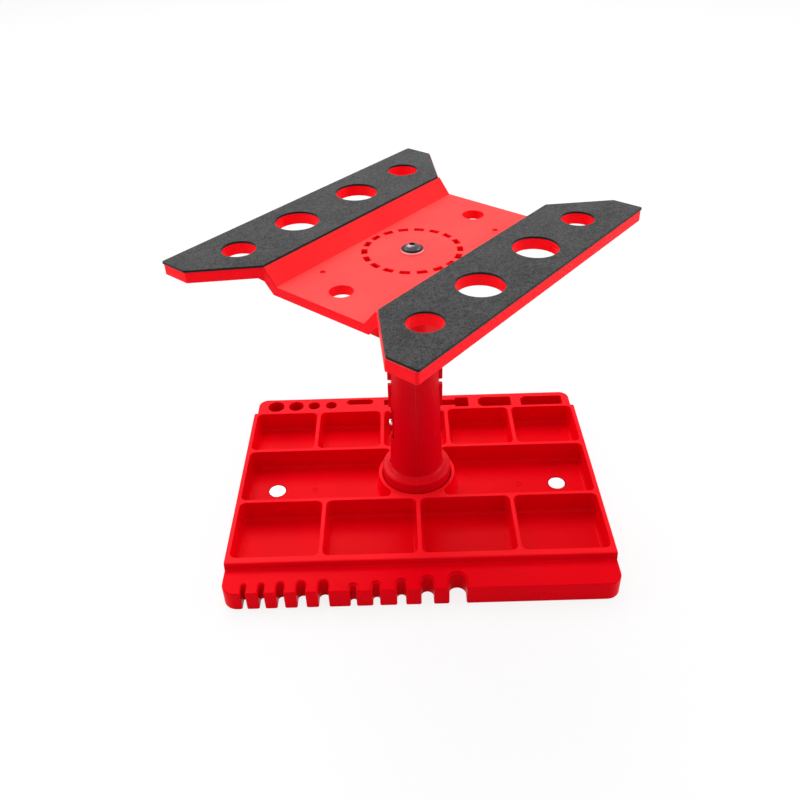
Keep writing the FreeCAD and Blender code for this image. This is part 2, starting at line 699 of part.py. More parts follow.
def post_solid():
    """The post with its bore, its side slots and its rear lobe."""
    lobe_front = POST_BORE
    lobe_z = (LOBE_BOTTOM, LOBE_BOTTOM + LOBE_LENGTH)
    lobe = block((-LOBE_HALF_WIDTH, LOBE_HALF_WIDTH), (lobe_front, LOBE_BACK), lobe_z)
    lobe = lobe.makeFillet(LOBE_ROUND, upright_edges(lobe, lambda x, y: y > lobe_front + OVERCUT))
    bore_z = (FLOOR_Z - OVERCUT, POST_TOP + OVERCUT)
    slot_bottom = MAST_BOTTOM - LIFT_DOWN - LOOSE_GAP
    slot_z = (slot_bottom, POST_TOP + OVERCUT)
    tools = [
        cylinder(CHAMBER_RADIUS, (FLOOR_Z - OVERCUT, CHAMBER_TOP)),
        cylinder(POST_BORE, bore_z),
        block((-SLOT_HALF_X, SLOT_HALF_X), (-SLOT_HALF_Y, SLOT_HALF_Y), slot_z),
    ]
    tools += foot_screw_set(SCREW_GAP)
    tools += [post_screw(place, SCREW_GAP) for place in lobe_screw_places()]
    return post_blank().fuse(lobe).cut(tools)


def half_space(side):
    """A block that holds everything on one side of the parting plane."""
    reach = FOOT_RADIUS + OVERCUT
    x_range = sorted((0, side * reach))
    return block(x_range, (-reach, reach), (FLOOR_Z - OVERCUT, POST_TOP + OVERCUT))


def make_post_left():
    """The left half, with the peg holes and the flat seat of the catch spring."""
    half = post_solid().common(half_space(-1))
    holes = [peg(place, PEG_RADIUS + SCREW_GAP, PEG_LENGTH + LOOSE_GAP) for place in peg_places()]
    catch_top = NOTCH_Z + CATCH_ABOVE_NOTCH
    seat_z = (CATCH_BOTTOM - CATCH_SEAT_MARGIN, catch_top + CATCH_SEAT_MARGIN)
    seat_y = (CATCH_OUTER_Y - CATCH_SEAT_MARGIN, -SLOT_HALF_Y + OVERCUT)
    seat = block((-FOOT_RADIUS, -CATCH_FACE_X), seat_y, seat_z)
    return half.cut(holes + [seat, catch_screw_shape(SCREW_GAP)])


def make_post_right():
    """The right half, with the pegs."""
    half = post_solid().common(half_space(1))
    return half.fuse([peg(place, PEG_RADIUS, PEG_LENGTH) for place in peg_places()])


def catch_screw_shape(gap=0.0):
    """The small screw of the catch spring, or with a gap its hole."""
    seat_x = -(CATCH_FACE_X + CATCH_THICKNESS)
    length = CATCH_SCREW_LENGTH + CATCH_THICKNESS
    if gap:
        screw = Part.makeCylinder(CATCH_SCREW_RADIUS + gap, length + gap, ORIGIN, Vector(0, 0, -1))
    else:
        screw = pan_screw(CATCH_SCREW_RADIUS, CATCH_HEAD_RADIUS, CATCH_HEAD_HEIGHT, length)
    screw.rotate(ORIGIN, Vector(0, 1, 0), -90)
    screw.translate(Vector(seat_x, CATCH_MID_Y, CATCH_SCREW_Z))
    return screw


def make_catch_spring():
    """A springy leaf: a flat on the post, a tongue in the rail's notch and a thumb tab below."""
    top = NOTCH_Z + CATCH_ABOVE_NOTCH
    inner = -CATCH_FACE_X
    outer = inner - CATCH_THICKNESS
    side = [(inner, top), (outer, top), (outer, CATCH_BEND_Z), (outer - CATCH_TAB_OUT, CATCH_BOTTOM)]
    side += [(inner - CATCH_TAB_OUT, CATCH_BOTTOM), (inner, CATCH_BEND_Z)]
    points = [Vector(x, CATCH_OUTER_Y, z) for x, z in side]
    leaf = Part.Face(Part.makePolygon(points + points[:1])).extrude(Vector(0, CATCH_WIDTH, 0))
    half = CATCH_TONGUE / 2
    tongue_y = (CATCH_INNER_Y - OVERCUT, CATCH_INNER_Y + CATCH_TONGUE_REACH)
    tongue = block((outer, inner), tongue_y, (NOTCH_Z - half, NOTCH_Z + half))
    return leaf.fuse(tongue).cut(catch_screw_shape(SCREW_GAP)).removeSplitter()


def notch_tool(side, z):
    """One notch of the rail: a flat lower face and a sloped upper one."""
    low = z - NOTCH_HEIGHT / 2
    high = z + NOTCH_HEIGHT / 2
    inner = side * (BAR_HALF_WIDTH - NOTCH_DEPTH)
    outer = side * (BAR_HALF_WIDTH + OVERCUT)
    points = [(inner, low), (outer, low), (outer, high + NOTCH_SLOPE), (inner, high)]
    corners = [Vector(x, -BAR_THICKNESS, height) for x, height in points]
    face = Part.Face(Part.makePolygon(corners + corners[:1]))
    return face.extrude(Vector(0, 2 * BAR_THICKNESS, 0))


def make_mast():
    """The sliding mast: notched bar, cross rib, guide discs, end blocks and journal."""
    z_range = (MAST_BOTTOM, SHOULDER_Z)
    half = BAR_THICKNESS / 2
    bar = block((-BAR_HALF_WIDTH, BAR_HALF_WIDTH), (-half, half), z_range)
    rail_edges = upright_edges(bar)
    bar = bar.makeChamfer(BAR_EDGE_CHAMFER, rail_edges)
    reach = math.sqrt(GUIDE_RADIUS ** 2 - (CROSS_RIB / 2) ** 2)
    rib = block((-CROSS_RIB / 2, CROSS_RIB / 2), (-reach, reach), z_range)
    solids = [rib, cylinder(GUIDE_RADIUS, (MAST_BOTTOM, MAST_BOTTOM + MAST_BLOCK))]
    solids.append(cylinder(GUIDE_RADIUS, (SHOULDER_Z - MAST_BLOCK, SHOULDER_Z)))
    free = MAST_LENGTH - 2 * MAST_BLOCK
    for index in range(GUIDE_COUNT):
        middle = MAST_BOTTOM + MAST_BLOCK + free * (index + 1) / (GUIDE_COUNT + 1)
        solids.append(cylinder(GUIDE_RADIUS, (middle - GUIDE_DISC / 2, middle + GUIDE_DISC / 2)))
    journal_top = CENTRE_UNDER - JOURNAL_SHORT
    solids.append(cylinder(JOURNAL_RADIUS, (SHOULDER_Z - OVERCUT, journal_top)))
    mast = bar.fuse(solids).removeSplitter()
    tools = []
    for index in range(NOTCH_COUNT):
        z = NOTCH_Z + (index - STEPS_UP) * NOTCH_PITCH
        tools += [notch_tool(-1, z), notch_tool(1, z)]
    insert_bottom = journal_top - INSERT_LENGTH
    tools.append(cylinder(INSERT_RADIUS + SCREW_GAP, (insert_bottom, journal_top + OVERCUT)))
    screw_bottom = CENTRE_TOP + WASHER_THICKNESS - M4_LENGTH - LOOSE_GAP
    tools.append(cylinder(M4_RADIUS + SCREW_GAP, (screw_bottom, journal_top)))
    tools.append(countersunk_screw(MAST_BOTTOM - STOP_THICKNESS, STOP_SCREW_LENGTH + SCREW_GAP, SCREW_GAP))
    return mast.cut(tools)


def make_thread_insert():
    """The brass insert, with two holding grooves."""
    top = CENTRE_UNDER - JOURNAL_SHORT
    insert = tube(INSERT_RADIUS, M4_RADIUS + SCREW_GAP, (top - INSERT_LENGTH, top))
    for share in (1 / 3, 2 / 3):
        z = top - INSERT_LENGTH * share
        groove = (z - INSERT_GROOVE, z + INSERT_GROOVE)
        insert = insert.cut(tube(INSERT_RADIUS + OVERCUT, INSERT_RADIUS - INSERT_GROOVE, groove))
    return insert


def make_stop_washer():
    """The washer under the mast that meets the chamber's top at full height."""
    washer = cylinder(STOP_RADIUS, (MAST_BOTTOM - STOP_THICKNESS, MAST_BOTTOM))
    hole = countersunk_screw(MAST_BOTTOM - STOP_THICKNESS, STOP_SCREW_LENGTH, SCREW_GAP)
    return washer.cut(hole)


def make_stop_screw():
    """The screw of the stop washer, with a cross recess below."""
    face = MAST_BOTTOM - STOP_THICKNESS
    return countersunk_screw(face, STOP_SCREW_LENGTH)


def make_friction_washer():
    """The plastic washer that the conical spring presses on the mast."""
    return tube(FRICTION_RADIUS, JOURNAL_RADIUS + RUNNING_GAP, (SHOULDER_Z, FRICTION_TOP))


def make_disc_spring():
    """The conical spring between the friction washer and the hub."""
    inner = JOURNAL_RADIUS + RUNNING_GAP
    profile = [(SPRING_RADIUS, FRICTION_TOP), (SPRING_RADIUS, FRICTION_TOP + SPRING_SHEET)]
    profile += [(inner, WEB_Z), (inner, WEB_Z - SPRING_SHEET)]
    return revolved(profile)


def make_flat_washer():
    """The washer under the head of the centre screw."""
    return tube(WASHER_RADIUS, M4_RADIUS + RUNNING_GAP, (CENTRE_TOP, CENTRE_TOP + WASHER_THICKNESS))


def make_centre_screw():
    """The button-head screw with a hexagon socket."""
    seat = CENTRE_TOP + WASHER_THICKNESS
    dome = M4_HEAD_HEIGHT - M4_HEAD_EDGE
    sphere = (M4_HEAD_RADIUS ** 2 + dome ** 2) / (2 * dome)
    ball = Part.makeSphere(sphere, Vector(0, 0, seat + M4_HEAD_HEIGHT - sphere))
    head = ball.common(cylinder(M4_HEAD_RADIUS, (seat, seat + M4_HEAD_HEIGHT)))
    screw = head.fuse(cylinder(M4_RADIUS, (seat - M4_LENGTH, seat)))
    across = M4_SOCKET / math.sqrt(3)
    turns = [math.radians(60 * index) for index in range(6)]
    corners = [(across * math.cos(turn), across * math.sin(turn)) for turn in turns]
    socket_z = (seat + M4_HEAD_HEIGHT - M4_SOCKET_DEPTH, seat + M4_HEAD_HEIGHT + OVERCUT)
    return screw.cut(prism(corners, socket_z)).removeSplitter()


def turned(shape):
    """The platform's own U and V directions turned to the pose at rest."""
    shape.rotate(ORIGIN, Z_AXIS, -PLATFORM_TURN)
    return shape


def sector_ring(inner, outer, z_range, angle, gap=0.0):
    """A piece of a ring, centred on the V axis; a gap draws every side in."""
    half = math.radians(angle / 2) - gap / outer
    low = inner + gap
    high = outer - gap

    def at(radius, turn):
        return Vector(radius * math.cos(turn), radius * math.sin(turn), z_range[0])

    edges = [
        Part.Arc(at(low, -half), at(low, 0), at(low, half)).toShape(),
        Part.LineSegment(at(low, half), at(high, half)).toShape(),
        Part.Arc(at(high, half), at(high, 0), at(high, -half)).toShape(),
        Part.LineSegment(at(high, -half), at(low, -half)).toShape(),
    ]
    return Part.Face(Part.Wire(edges)).extrude(Vector(0, 0, z_range[1] - z_range[0]))


def tab_ring(z_range, gap=0.0):
    """The ring of tabs, or their slots."""
    tabs = []
    for index in range(TAB_COUNT):
        tab = sector_ring(TAB_INNER, TAB_OUTER, z_range, TAB_ANGLE, gap)
        tab.rotate(ORIGIN, Z_AXIS, index * 360 / TAB_COUNT)
        tabs.append(tab)
    return tabs


def make_hub_skirt():
    """The rounded-square hub that turns on the journal and covers the post's top."""
    side = (-HUB_HALF_SIDE, HUB_HALF_SIDE)
    skirt = block(side, side, (HUB_BOTTOM, CENTRE_UNDER))
    skirt = skirt.makeFillet(HUB_CORNER, upright_edges(skirt))
    flange = cylinder(HUB_FLANGE_RADIUS, (CENTRE_UNDER - HUB_FLANGE, CENTRE_UNDER))
    tab_z = (CENTRE_UNDER - HUB_FLANGE / 2, CENTRE_TOP - TAB_BELOW_TOP)
    hub = skirt.fuse([flange] + tab_ring(tab_z, RUNNING_GAP))
    tools = [cylinder(HUB_BORE, (HUB_BOTTOM - OVERCUT, WEB_Z))]
    tools.append(cylinder(JOURNAL_RADIUS + RUNNING_GAP, (WEB_Z - OVERCUT, CENTRE_UNDER + OVERCUT)))
    return turned(hub.cut(tools).removeSplitter())


def platform_outline():
    """The platform's corners as (v, u) points, anticlockwise from the right end."""
    chamfer_v = WING_END_V - (WING_HALF_U - CENTRE_HALF_U)
    quarter = [(WING_HALF_V, WING_HALF_U), (WING_END_V, WING_HALF_U), (chamfer_v, CENTRE_HALF_U)]
    left = [(-v, u) for v, u in reversed(quarter)]
    top = quarter + left
    return top + [(-v, -u) for v, u in top]


def wing_outline(inset, inner_v):
    """One wing's corners, drawn in by an inset, from inner_v outwards."""
    slant = inset * math.tan(math.radians(22.5))
    end_u = WING_HALF_U - inset
    outer_v = WING_HALF_V - inset
    knee_v = WING_END_V + slant
    inner_u = end_u - (knee_v - inner_v)
    upper = [(outer_v, end_u), (knee_v, end_u), (inner_v, inner_u)]
    return upper + [(v, -u) for v, u in reversed(upper)]


def wing_hole_tools(z_range, extra=0.0):
    """The four round holes of the right wing, or their bosses."""
    tools = []
    for u, radius in WING_HOLES.items():
        tools += [cylinder(radius + extra, z_range, WING_HOLE_V, sign * u) for sign in (-1, 1)]
    return tools


def platform_section():
    """The platform's section across the wings, run along their length."""
    under_v = CENTRE_HALF_V + RAMP_UNDER_SHIFT
    wing_under_v = under_v + WING_UNDER - CENTRE_UNDER
    right = [
        (CENTRE_HALF_V, CENTRE_TOP), (WING_INNER_V, WING_TOP), (WING_HALF_V, WING_TOP),
        (WING_HALF_V, WING_UNDER), (wing_under_v, WING_UNDER), (under_v, CENTRE_UNDER),
    ]
    section = right + [(-v, z) for v, z in reversed(right)]
    corners = [Vector(v, -WING_HALF_U, z) for v, z in section]
    return Part.Face(Part.makePolygon(corners + corners[:1])).extrude(Vector(0, 2 * WING_HALF_U, 0))


def under_pockets():
    """The pockets under the wings and under the centre, round bosses and ribs."""
    inner_v = CENTRE_HALF_V + RAMP_UNDER_SHIFT + WING_UNDER - CENTRE_UNDER + WING_WALL
    pocket_z = (WING_UNDER - OVERCUT, WING_TOP - WING_SKIN)
    wing = prism(wing_outline(WING_WALL, inner_v), pocket_z)
    keep = wing_hole_tools((WING_UNDER - 2 * OVERCUT, WING_TOP), WING_BOSS_WALL)
    span = (inner_v - OVERCUT, WING_HALF_V)
    rib_z = (WING_UNDER - 2 * OVERCUT, WING_TOP)
    keep.append(block(span, (-WING_RIB / 2, WING_RIB / 2), rib_z))
    along = (WING_HOLE_V - WING_RIB / 2, WING_HOLE_V + WING_RIB / 2)
    keep.append(block(along, (-WING_HALF_U, WING_HALF_U), rib_z))
    wing = wing.cut(keep)
    pockets = [wing, wing.mirror(ORIGIN, X_AXIS)]
    boss = CENTRE_HOLE_RADIUS + CENTRE_BOSS_WALL
    for sign in (-1, 1):
        u_range = sorted((sign * (HUB_FLANGE_RADIUS + WING_WALL), sign * (CENTRE_HALF_U - WING_WALL)))
        v_range = (-CENTRE_HALF_V, CENTRE_HALF_V)
        centre = block(v_range, u_range, (CENTRE_UNDER - OVERCUT, CENTRE_TOP - CENTRE_SKIN))
        boss_z = (CENTRE_UNDER - 2 * OVERCUT, CENTRE_TOP)
        pockets.append(centre.cut(cylinder(boss, boss_z, 0, sign * CENTRE_HOLE_U)))
    return pockets


def make_top_plate():
    """The platform in one moulding: low centre, two ramps and two raised wings."""
    outline = prism(platform_outline(), (CENTRE_UNDER - OVERCUT, WING_TOP + OVERCUT))

    def is_end_corner(x, y):
        return abs(x) > WING_HALF_V - OVERCUT and abs(y) > WING_HALF_U - OVERCUT

    outline = outline.makeFillet(WING_CORNER, upright_edges(outline, is_end_corner))

    def is_knee(x, y):
        return abs(abs(x) - WING_END_V) < OVERCUT

    outline = outline.makeFillet(WING_SOFT_CORNER, upright_edges(outline, is_knee))
    plate = platform_section().common(outline)
    through = (CENTRE_UNDER - OVERCUT, WING_TOP + OVERCUT)
    right_holes = wing_hole_tools(through)
    tools = right_holes + [hole.mirror(ORIGIN, X_AXIS) for hole in right_holes]
    tools += [cylinder(CENTRE_HOLE_RADIUS, through, 0, sign * CENTRE_HOLE_U) for sign in (-1, 1)]
    tools.append(cylinder(M4_RADIUS + RUNNING_GAP, through))
    tools += tab_ring((CENTRE_UNDER - OVERCUT, CENTRE_TOP + OVERCUT))
    for sign in (-1, 1):
        profile = [(0, -DIMPLE_DEPTH), (DIMPLE_FLAT, -DIMPLE_DEPTH), (DIMPLE_RADIUS, 0)]
        dimple = revolved(profile + [(DIMPLE_RADIUS, OVERCUT), (0, OVERCUT)])
        dimple.translate(Vector(sign * DIMPLE_V, sign * DIMPLE_U, CENTRE_TOP))
        tools.append(dimple)
    return turned(plate.cut(tools + under_pockets()))


def make_foam(side):
    """A foam sheet on one wing, with the wing's holes."""
    z_range = (WING_TOP, WING_TOP + FOAM_THICKNESS)
    sheet = prism(wing_outline(FOAM_INSET, WING_INNER_V + FOAM_RAMP_INSET), z_range)

    def is_end_corner(x, y):
        return x > WING_HALF_V - OVERCUT

    sheet = sheet.makeFillet(FOAM_CORNER, upright_edges(sheet, is_end_corner))
    sheet.translate(Vector(0, FOAM_SHIFT[side], 0))
    sheet = sheet.cut(wing_hole_tools((WING_TOP - OVERCUT, WING_TOP + FOAM_THICKNESS + OVERCUT)))
    if side < 0:
        sheet = sheet.mirror(ORIGIN, X_AXIS)
    return turned(sheet)


def build_all():
    """Every node's name and shape."""
    return {
        "base_tray": make_base_tray(),
        "magnet_left": make_magnet(-1),
        "magnet_right": make_magnet(1),
        "foot_plate": make_foot_plate(),
        "foot_screws": Part.makeCompound(foot_screw_set()),
        "post_left": make_post_left(),
        "post_right": make_post_right(),
        "post_screws": Part.makeCompound([post_screw(place) for place in lobe_screw_places()]),
        "catch_spring": make_catch_spring(),
        "catch_screw": catch_screw_shape(),
        "mast": make_mast(),
        "thread_insert": make_thread_insert(),
        "stop_washer": make_stop_washer(),
        "stop_screw": make_stop_screw(),
        "friction_washer": make_friction_washer(),
        "disc_spring": make_disc_spring(),
        "flat_washer": make_flat_washer(),
        "centre_screw": make_centre_screw(),
        "hub_skirt": make_hub_skirt(),
        "top_plate": make_top_plate(),
        "foam_left": make_foam(-1),
        "foam_right": make_foam(1),
    }


os.makedirs("parts", exist_ok=True)
for name, shape in build_all().items():
    shape.exportStep(os.path.join("parts", name + ".step"))
    box = shape.BoundBox
    limits = [round(value, 2) for value in (box.XMin, box.XMax, box.YMin, box.YMax, box.ZMin, box.ZMax)]
    print(name, len(shape.Solids), "solids", shape.isValid(), round(shape.Volume, 1), limits)
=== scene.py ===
"""Looks of a radio-controlled car work stand: compartment tray, post, notched mast, padded platform."""
from __future__ import annotations

import logging
import math
from dataclasses import dataclass, field
from enum import Enum
from typing import Any, Mapping, Sequence, Union

import bmesh
import bpy
from mathutils import Matrix, Vector, noise
from mathutils.geometry import delaunay_2d_cdt

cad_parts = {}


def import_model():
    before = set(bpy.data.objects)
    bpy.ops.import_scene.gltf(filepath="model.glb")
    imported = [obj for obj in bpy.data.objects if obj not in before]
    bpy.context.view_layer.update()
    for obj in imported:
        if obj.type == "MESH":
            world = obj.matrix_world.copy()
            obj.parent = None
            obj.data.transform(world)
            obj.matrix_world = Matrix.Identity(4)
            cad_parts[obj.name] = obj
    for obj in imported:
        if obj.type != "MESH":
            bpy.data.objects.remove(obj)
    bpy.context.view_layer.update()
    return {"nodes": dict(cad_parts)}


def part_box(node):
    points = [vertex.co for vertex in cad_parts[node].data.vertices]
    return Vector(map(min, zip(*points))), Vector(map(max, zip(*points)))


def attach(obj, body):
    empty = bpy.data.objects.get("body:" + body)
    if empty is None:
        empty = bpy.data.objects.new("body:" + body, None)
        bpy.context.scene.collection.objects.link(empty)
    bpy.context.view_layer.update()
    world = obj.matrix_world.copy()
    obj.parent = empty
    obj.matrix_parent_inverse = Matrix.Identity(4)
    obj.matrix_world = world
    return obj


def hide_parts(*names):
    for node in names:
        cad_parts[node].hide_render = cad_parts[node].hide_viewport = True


MM = 0.001
# Points of the flat mesh that lie closer than this, in millimetres, are one.
MERGE = 1e-5
# A squared length that stands for the least one where a division needs it.
TINY = 1e-12
# How many rays read the surface round a softened edge.
BEVEL_SAMPLES = 6
LOG = logging.getLogger("work_stand")

Colour = tuple[float, float, float]
Point2 = tuple[float, float]
Point3 = tuple[float, float, float]


class Axis(Enum):
    """An axis of a point, as its number."""

    X = 0
    Y = 1
    Z = 2


class Side(Enum):
    """The side of the stand that a piece is on, as a sign along the platform's V axis."""

    LEFT = -1
    RIGHT = 1


class Value:
    """A number on a shader link that takes part in Python expressions."""

    def __init__(self, graph: Graph, socket: bpy.types.NodeSocket) -> None:
        """Wrap an output socket.

        Args:
            graph: The node tree that the socket belongs to.
            socket: The output that carries the number.
        """
        self.graph = graph
        self.socket = socket

    def __add__(self, other: Number) -> Value:
        """Sum."""
        return self.graph.math("ADD", self, other)

    def __radd__(self, other: float) -> Value:
        """Sum with a plain number on the left."""
        return self.graph.math("ADD", other, self)

    def __sub__(self, other: Number) -> Value:
        """Difference."""
        return self.graph.math("SUBTRACT", self, other)

    def __rsub__(self, other: float) -> Value:
        """Difference with a plain number on the left."""
        return self.graph.math("SUBTRACT", other, self)

    def __mul__(self, other: Number) -> Value:
        """Product."""
        return self.graph.math("MULTIPLY", self, other)

    def __rmul__(self, other: float) -> Value:
        """Product with a plain number on the left."""
        return self.graph.math("MULTIPLY", other, self)

    def __truediv__(self, other: Number) -> Value:
        """Quotient."""
        return self.graph.math("DIVIDE", self, other)

    def at_least(self, other: Number) -> Value:
        """The greater of the two."""
        return self.graph.math("MAXIMUM", self, other)

    def at_most(self, other: Number) -> Value:
        """The lesser of the two."""
        return self.graph.math("MINIMUM", self, other)


Number = Union[float, Value]


class Graph:
    """The node tree of one material or world, with its output cleared."""

    def __init__(self, owner: Any) -> None:
        """Start an empty tree.

        Args:
            owner: The material or world.
        """
        owner.use_nodes = True
        self.tree = owner.node_tree
        self.tree.nodes.clear()

    def node(self, kind: str, settings: Mapping[str, Any] | None = None,
             inputs: Mapping[Union[str, int], Any] | None = None) -> bpy.types.Node:
        """Add one node.

        Args:
            kind: The node's type name.
            settings: Its properties, set first; "stops" fills a colour ramp.
            inputs: Values or links by socket name or number.

        Returns:
            The new node.
        """
        made = self.tree.nodes.new(kind)
        for name, value in (settings or {}).items():
            if name == "stops":
                self._fill_ramp(made.color_ramp, value)
            else:
                setattr(made, name, value)
        for key, value in (inputs or {}).items():
            socket = made.inputs[key]
            if isinstance(value, Value):
                self.tree.links.new(value.socket, socket)
            elif isinstance(value, bpy.types.NodeSocket):
                self.tree.links.new(value, socket)
            else:
                socket.default_value = value
        return made

    @staticmethod
    def _fill_ramp(ramp: bpy.types.ColorRamp, stops: Sequence[tuple[float, float]]) -> None:
        """Set a grey ramp's stops.

        Args:
            ramp: The ramp of a Color Ramp node.
            stops: (position, grey level) pairs in rising order.
        """
        while len(ramp.elements) < len(stops):
            ramp.elements.new(1.0)
        for element, (position, level) in zip(ramp.elements, stops):
            element.position = position
            element.color = grey(level)

    def math(self, operation: str, *operands: Number) -> Value:
        """One Math node on numbers or links."""
        made = self.node("ShaderNodeMath", {"operation": operation}, dict(enumerate(operands)))
        return Value(self, made.outputs[0])

    def place(self) -> bpy.types.NodeSocket:
        """The point on the object, in metres in its own frame."""
        return self.node("ShaderNodeTexCoord").outputs["Object"]

    def scaled(self, stretch: Vector) -> bpy.types.NodeSocket:
        """The point on the object, scaled axis by axis.

        Args:
            stretch: The factor along each axis.

        Returns:
            The vector link.
        """
        inputs = {0: self.place(), 1: tuple(stretch)}
        return self.node("ShaderNodeVectorMath", {"operation": "MULTIPLY"}, inputs).outputs[0]

    def noise(self, size: float, detail: float = 2.0, roughness: float = 0.5,
              vector: bpy.types.NodeSocket | None = None) -> Value:
        """Soft noise from 0 to 1.

        Args:
            size: The size of a blot in metres.
            detail: How many finer layers it has.
            roughness: How strong the finer layers are.
            vector: The place to read it at, or None for the object's own.

        Returns:
            The noise as a value.
        """
        inputs = {
            "Vector": vector or self.place(),
            "Scale": 1.0 / size,
            "Detail": detail,
            "Roughness": roughness,
        }
        return Value(self, self.node("ShaderNodeTexNoise", {}, inputs).outputs[0])

    def ramp(self, value: Value, *stops: tuple[float, float]) -> Value:
        """A value through a grey ramp with (position, grey) stops."""
        made = self.node("ShaderNodeValToRGB", {"stops": stops}, {0: value})
        return Value(self, made.outputs[0])

    def blend(self, factor: Number, first: Any, second: Any) -> bpy.types.NodeSocket:
        """Mix two colours.

        Args:
            factor: 0 for the first, 1 for the second.
            first: A colour or a link.
            second: A colour or a link.

        Returns:
            The colour link.
        """
        colours = [c if isinstance(c, bpy.types.NodeSocket) else (*c, 1.0) for c in (first, second)]
        # The Mix node's sockets for colours are numbers 6 and 7 in and number 2 out.
        made = self.node("ShaderNodeMix", {"data_type": "RGBA"}, {0: factor, 6: colours[0], 7: colours[1]})
        return made.outputs[2]

    def bump(self, height: Value, distance: float, edge_radius: float = 0.0) -> bpy.types.NodeSocket:
        """A bump, over edges that are softened to a radius.

        Args:
            height: The height, from 0 to 1.
            distance: What a height of 1 stands for, in metres.
            edge_radius: The radius of the softened edges in metres, or 0.

        Returns:
            The normal link.
        """
        inputs: dict[str, Any] = {"Height": height, "Distance": distance, "Strength": 1.0}
        if edge_radius:
            edge = self.node("ShaderNodeBevel", {"samples": BEVEL_SAMPLES}, {"Radius": edge_radius})
            inputs["Normal"] = edge.outputs[0]
        return self.node("ShaderNodeBump", {}, inputs).outputs[0]

    def facing_up(self) -> Value:
        """How far the surface faces up: 1 for a floor, 0 for a wall, -1 for a ceiling."""
        normal = self.node("ShaderNodeNewGeometry").outputs["Normal"]
        return Value(self, self.node("ShaderNodeSeparateXYZ", {}, {0: normal}).outputs[Axis.Z.value])

    def along(self, axis: Axis) -> Value:
        """The point's distance along one of the object's axes, in metres."""
        parts = self.node("ShaderNodeSeparateXYZ", {}, {0: self.place()})
        return Value(self, parts.outputs[axis.value])

    def surface(self, **sockets: Any) -> None:
        """Finish with a Principled shader.

        Args:
            sockets: Its inputs, with underscores for the spaces in their names.
        """
        inputs = {name.replace("_", " "): value for name, value in sockets.items()}
        shader = self.node("ShaderNodeBsdfPrincipled", {}, inputs)
        self.node("ShaderNodeOutputMaterial", {}, {"Surface": shader.outputs[0]})


def grey(level: float) -> tuple[float, float, float, float]:
    """An opaque grey of one level."""
    return (level, level, level, 1.0)


def new_graph(name: str) -> tuple[bpy.types.Material, Graph]:
    """A new material and its empty tree."""
    material = bpy.data.materials.new(name)
    return material, Graph(material)


@dataclass(frozen=True)
class MouldedPlastic:
    """Dyed moulded plastic with a faint flow pattern and a fine skin.

    Attributes:
        name: The material's name.
        colour: The main colour, linear.
        painted_top_light: The lighter colour of faces that look up, above a height: painted light on the
            tops.
        painted_top_light_from: The height in metres above which the painted light shows.
        painted_top_light_over: The height in metres over which it comes in.
        cloud: The size in metres of the slow changes of shade.
        cloud_shade: The darker shade, as a share of the main colour.
        cloud_strength: How far the colour goes towards the darker shade.
        grain: The size in metres of the skin's grain.
        wave: The size in metres of the skin's shallow waves.
        streaks: How closely the flow streaks follow each other along each axis, per metre.
        skin: The height of the skin in metres.
        roughness: The mean roughness.
        uneven: How far the grain and the streaks each change the roughness.
        edge: The radius of the softened edges in metres.
        gloss: The specular level.
        seam: The depth in metres of the parting groove at X 0, or 0.
        seam_half: Half the groove's width in metres.
        painted_seam_highlight: The pale colour along the parting line, a painted highlight.
    """

    name: str
    colour: Colour
    painted_top_light: Colour
    painted_top_light_from: float = -1.0
    painted_top_light_over: float = 1.5 * MM
    cloud: float = 34 * MM
    cloud_shade: float = 0.8
    cloud_strength: float = 0.3
    grain: float = 0.9 * MM
    wave: float = 5 * MM
    streaks: Point3 = (60.0, 220.0, 60.0)
    skin: float = 0.006 * MM
    roughness: float = 0.34
    uneven: float = 0.05
    edge: float = 0.3 * MM
    gloss: float = 0.3
    seam: float = 0.0
    seam_half: float = 0.5 * MM
    # The pale parting line is a painted highlight.
    painted_seam_highlight: Colour = (0.86, 0.05, 0.07)

    def material(self) -> bpy.types.Material:
        """Build the material.

        Returns:
            The material.
        """
        material, graph = new_graph(self.name)
        slow = graph.noise(self.cloud)
        fine = graph.noise(self.grain, 3.0, 0.6)
        streak = graph.noise(1.0, vector=graph.scaled(Vector(self.streaks)))
        above = ((graph.along(Axis.Z) - self.painted_top_light_from) / self.painted_top_light_over).at_least(0.0).at_most(1.0)
        # Painted light: faces that look up, above the set height, take the lighter top colour.
        painted_top_light = graph.ramp(graph.facing_up(), (0.5, 0.0), (0.95, 1.0)) * above
        colour = graph.blend(painted_top_light, self.colour, self.painted_top_light)
        shade = tuple(self.cloud_shade * channel for channel in self.colour)
        clouded = self.cloud_strength * graph.ramp(slow, (0.35, 0.0), (0.65, 1.0))
        colour = graph.blend(clouded, colour, shade)
        roughness = self.roughness + self.uneven * (fine - 0.5) + self.uneven * (streak - 0.5)
        height = 0.6 * fine + 0.4 * graph.noise(self.wave)
        if self.seam:
            colour, height = self._parting(graph, colour, height, slow)
        graph.surface(Base_Color=colour, Roughness=roughness, Specular_IOR_Level=self.gloss,
                      Normal=graph.bump(height, self.skin, self.edge))
        return material

    def _parting(self, graph: Graph, colour: bpy.types.NodeSocket, height: Value,
                 slow: Value) -> tuple[bpy.types.NodeSocket, Value]:
        """Add the parting groove and the painted highlight along it.

        Args:
            graph: The material's node tree.
            colour: The colour without the line.
            height: The skin's height without the groove.
            slow: The slow noise, which breaks the painted highlight up.

        Returns:
            The colour link and the height, with the painted highlight and the groove in them.
        """
        aside = graph.math("ABSOLUTE", graph.along(Axis.X)) / self.seam_half
        height = height + (self.seam / self.skin) * graph.ramp(aside, (0.0, 0.0), (0.9, 1.0))
        # Painted highlight: a pale line along the parting line, broken up by the slow noise.
        seam_highlight = graph.ramp(aside, (0.2, 0.22), (0.7, 0.0)) * graph.ramp(slow, (0.35, 0.3), (0.6, 1.0))
        return graph.blend(seam_highlight, colour, self.painted_seam_highlight), height


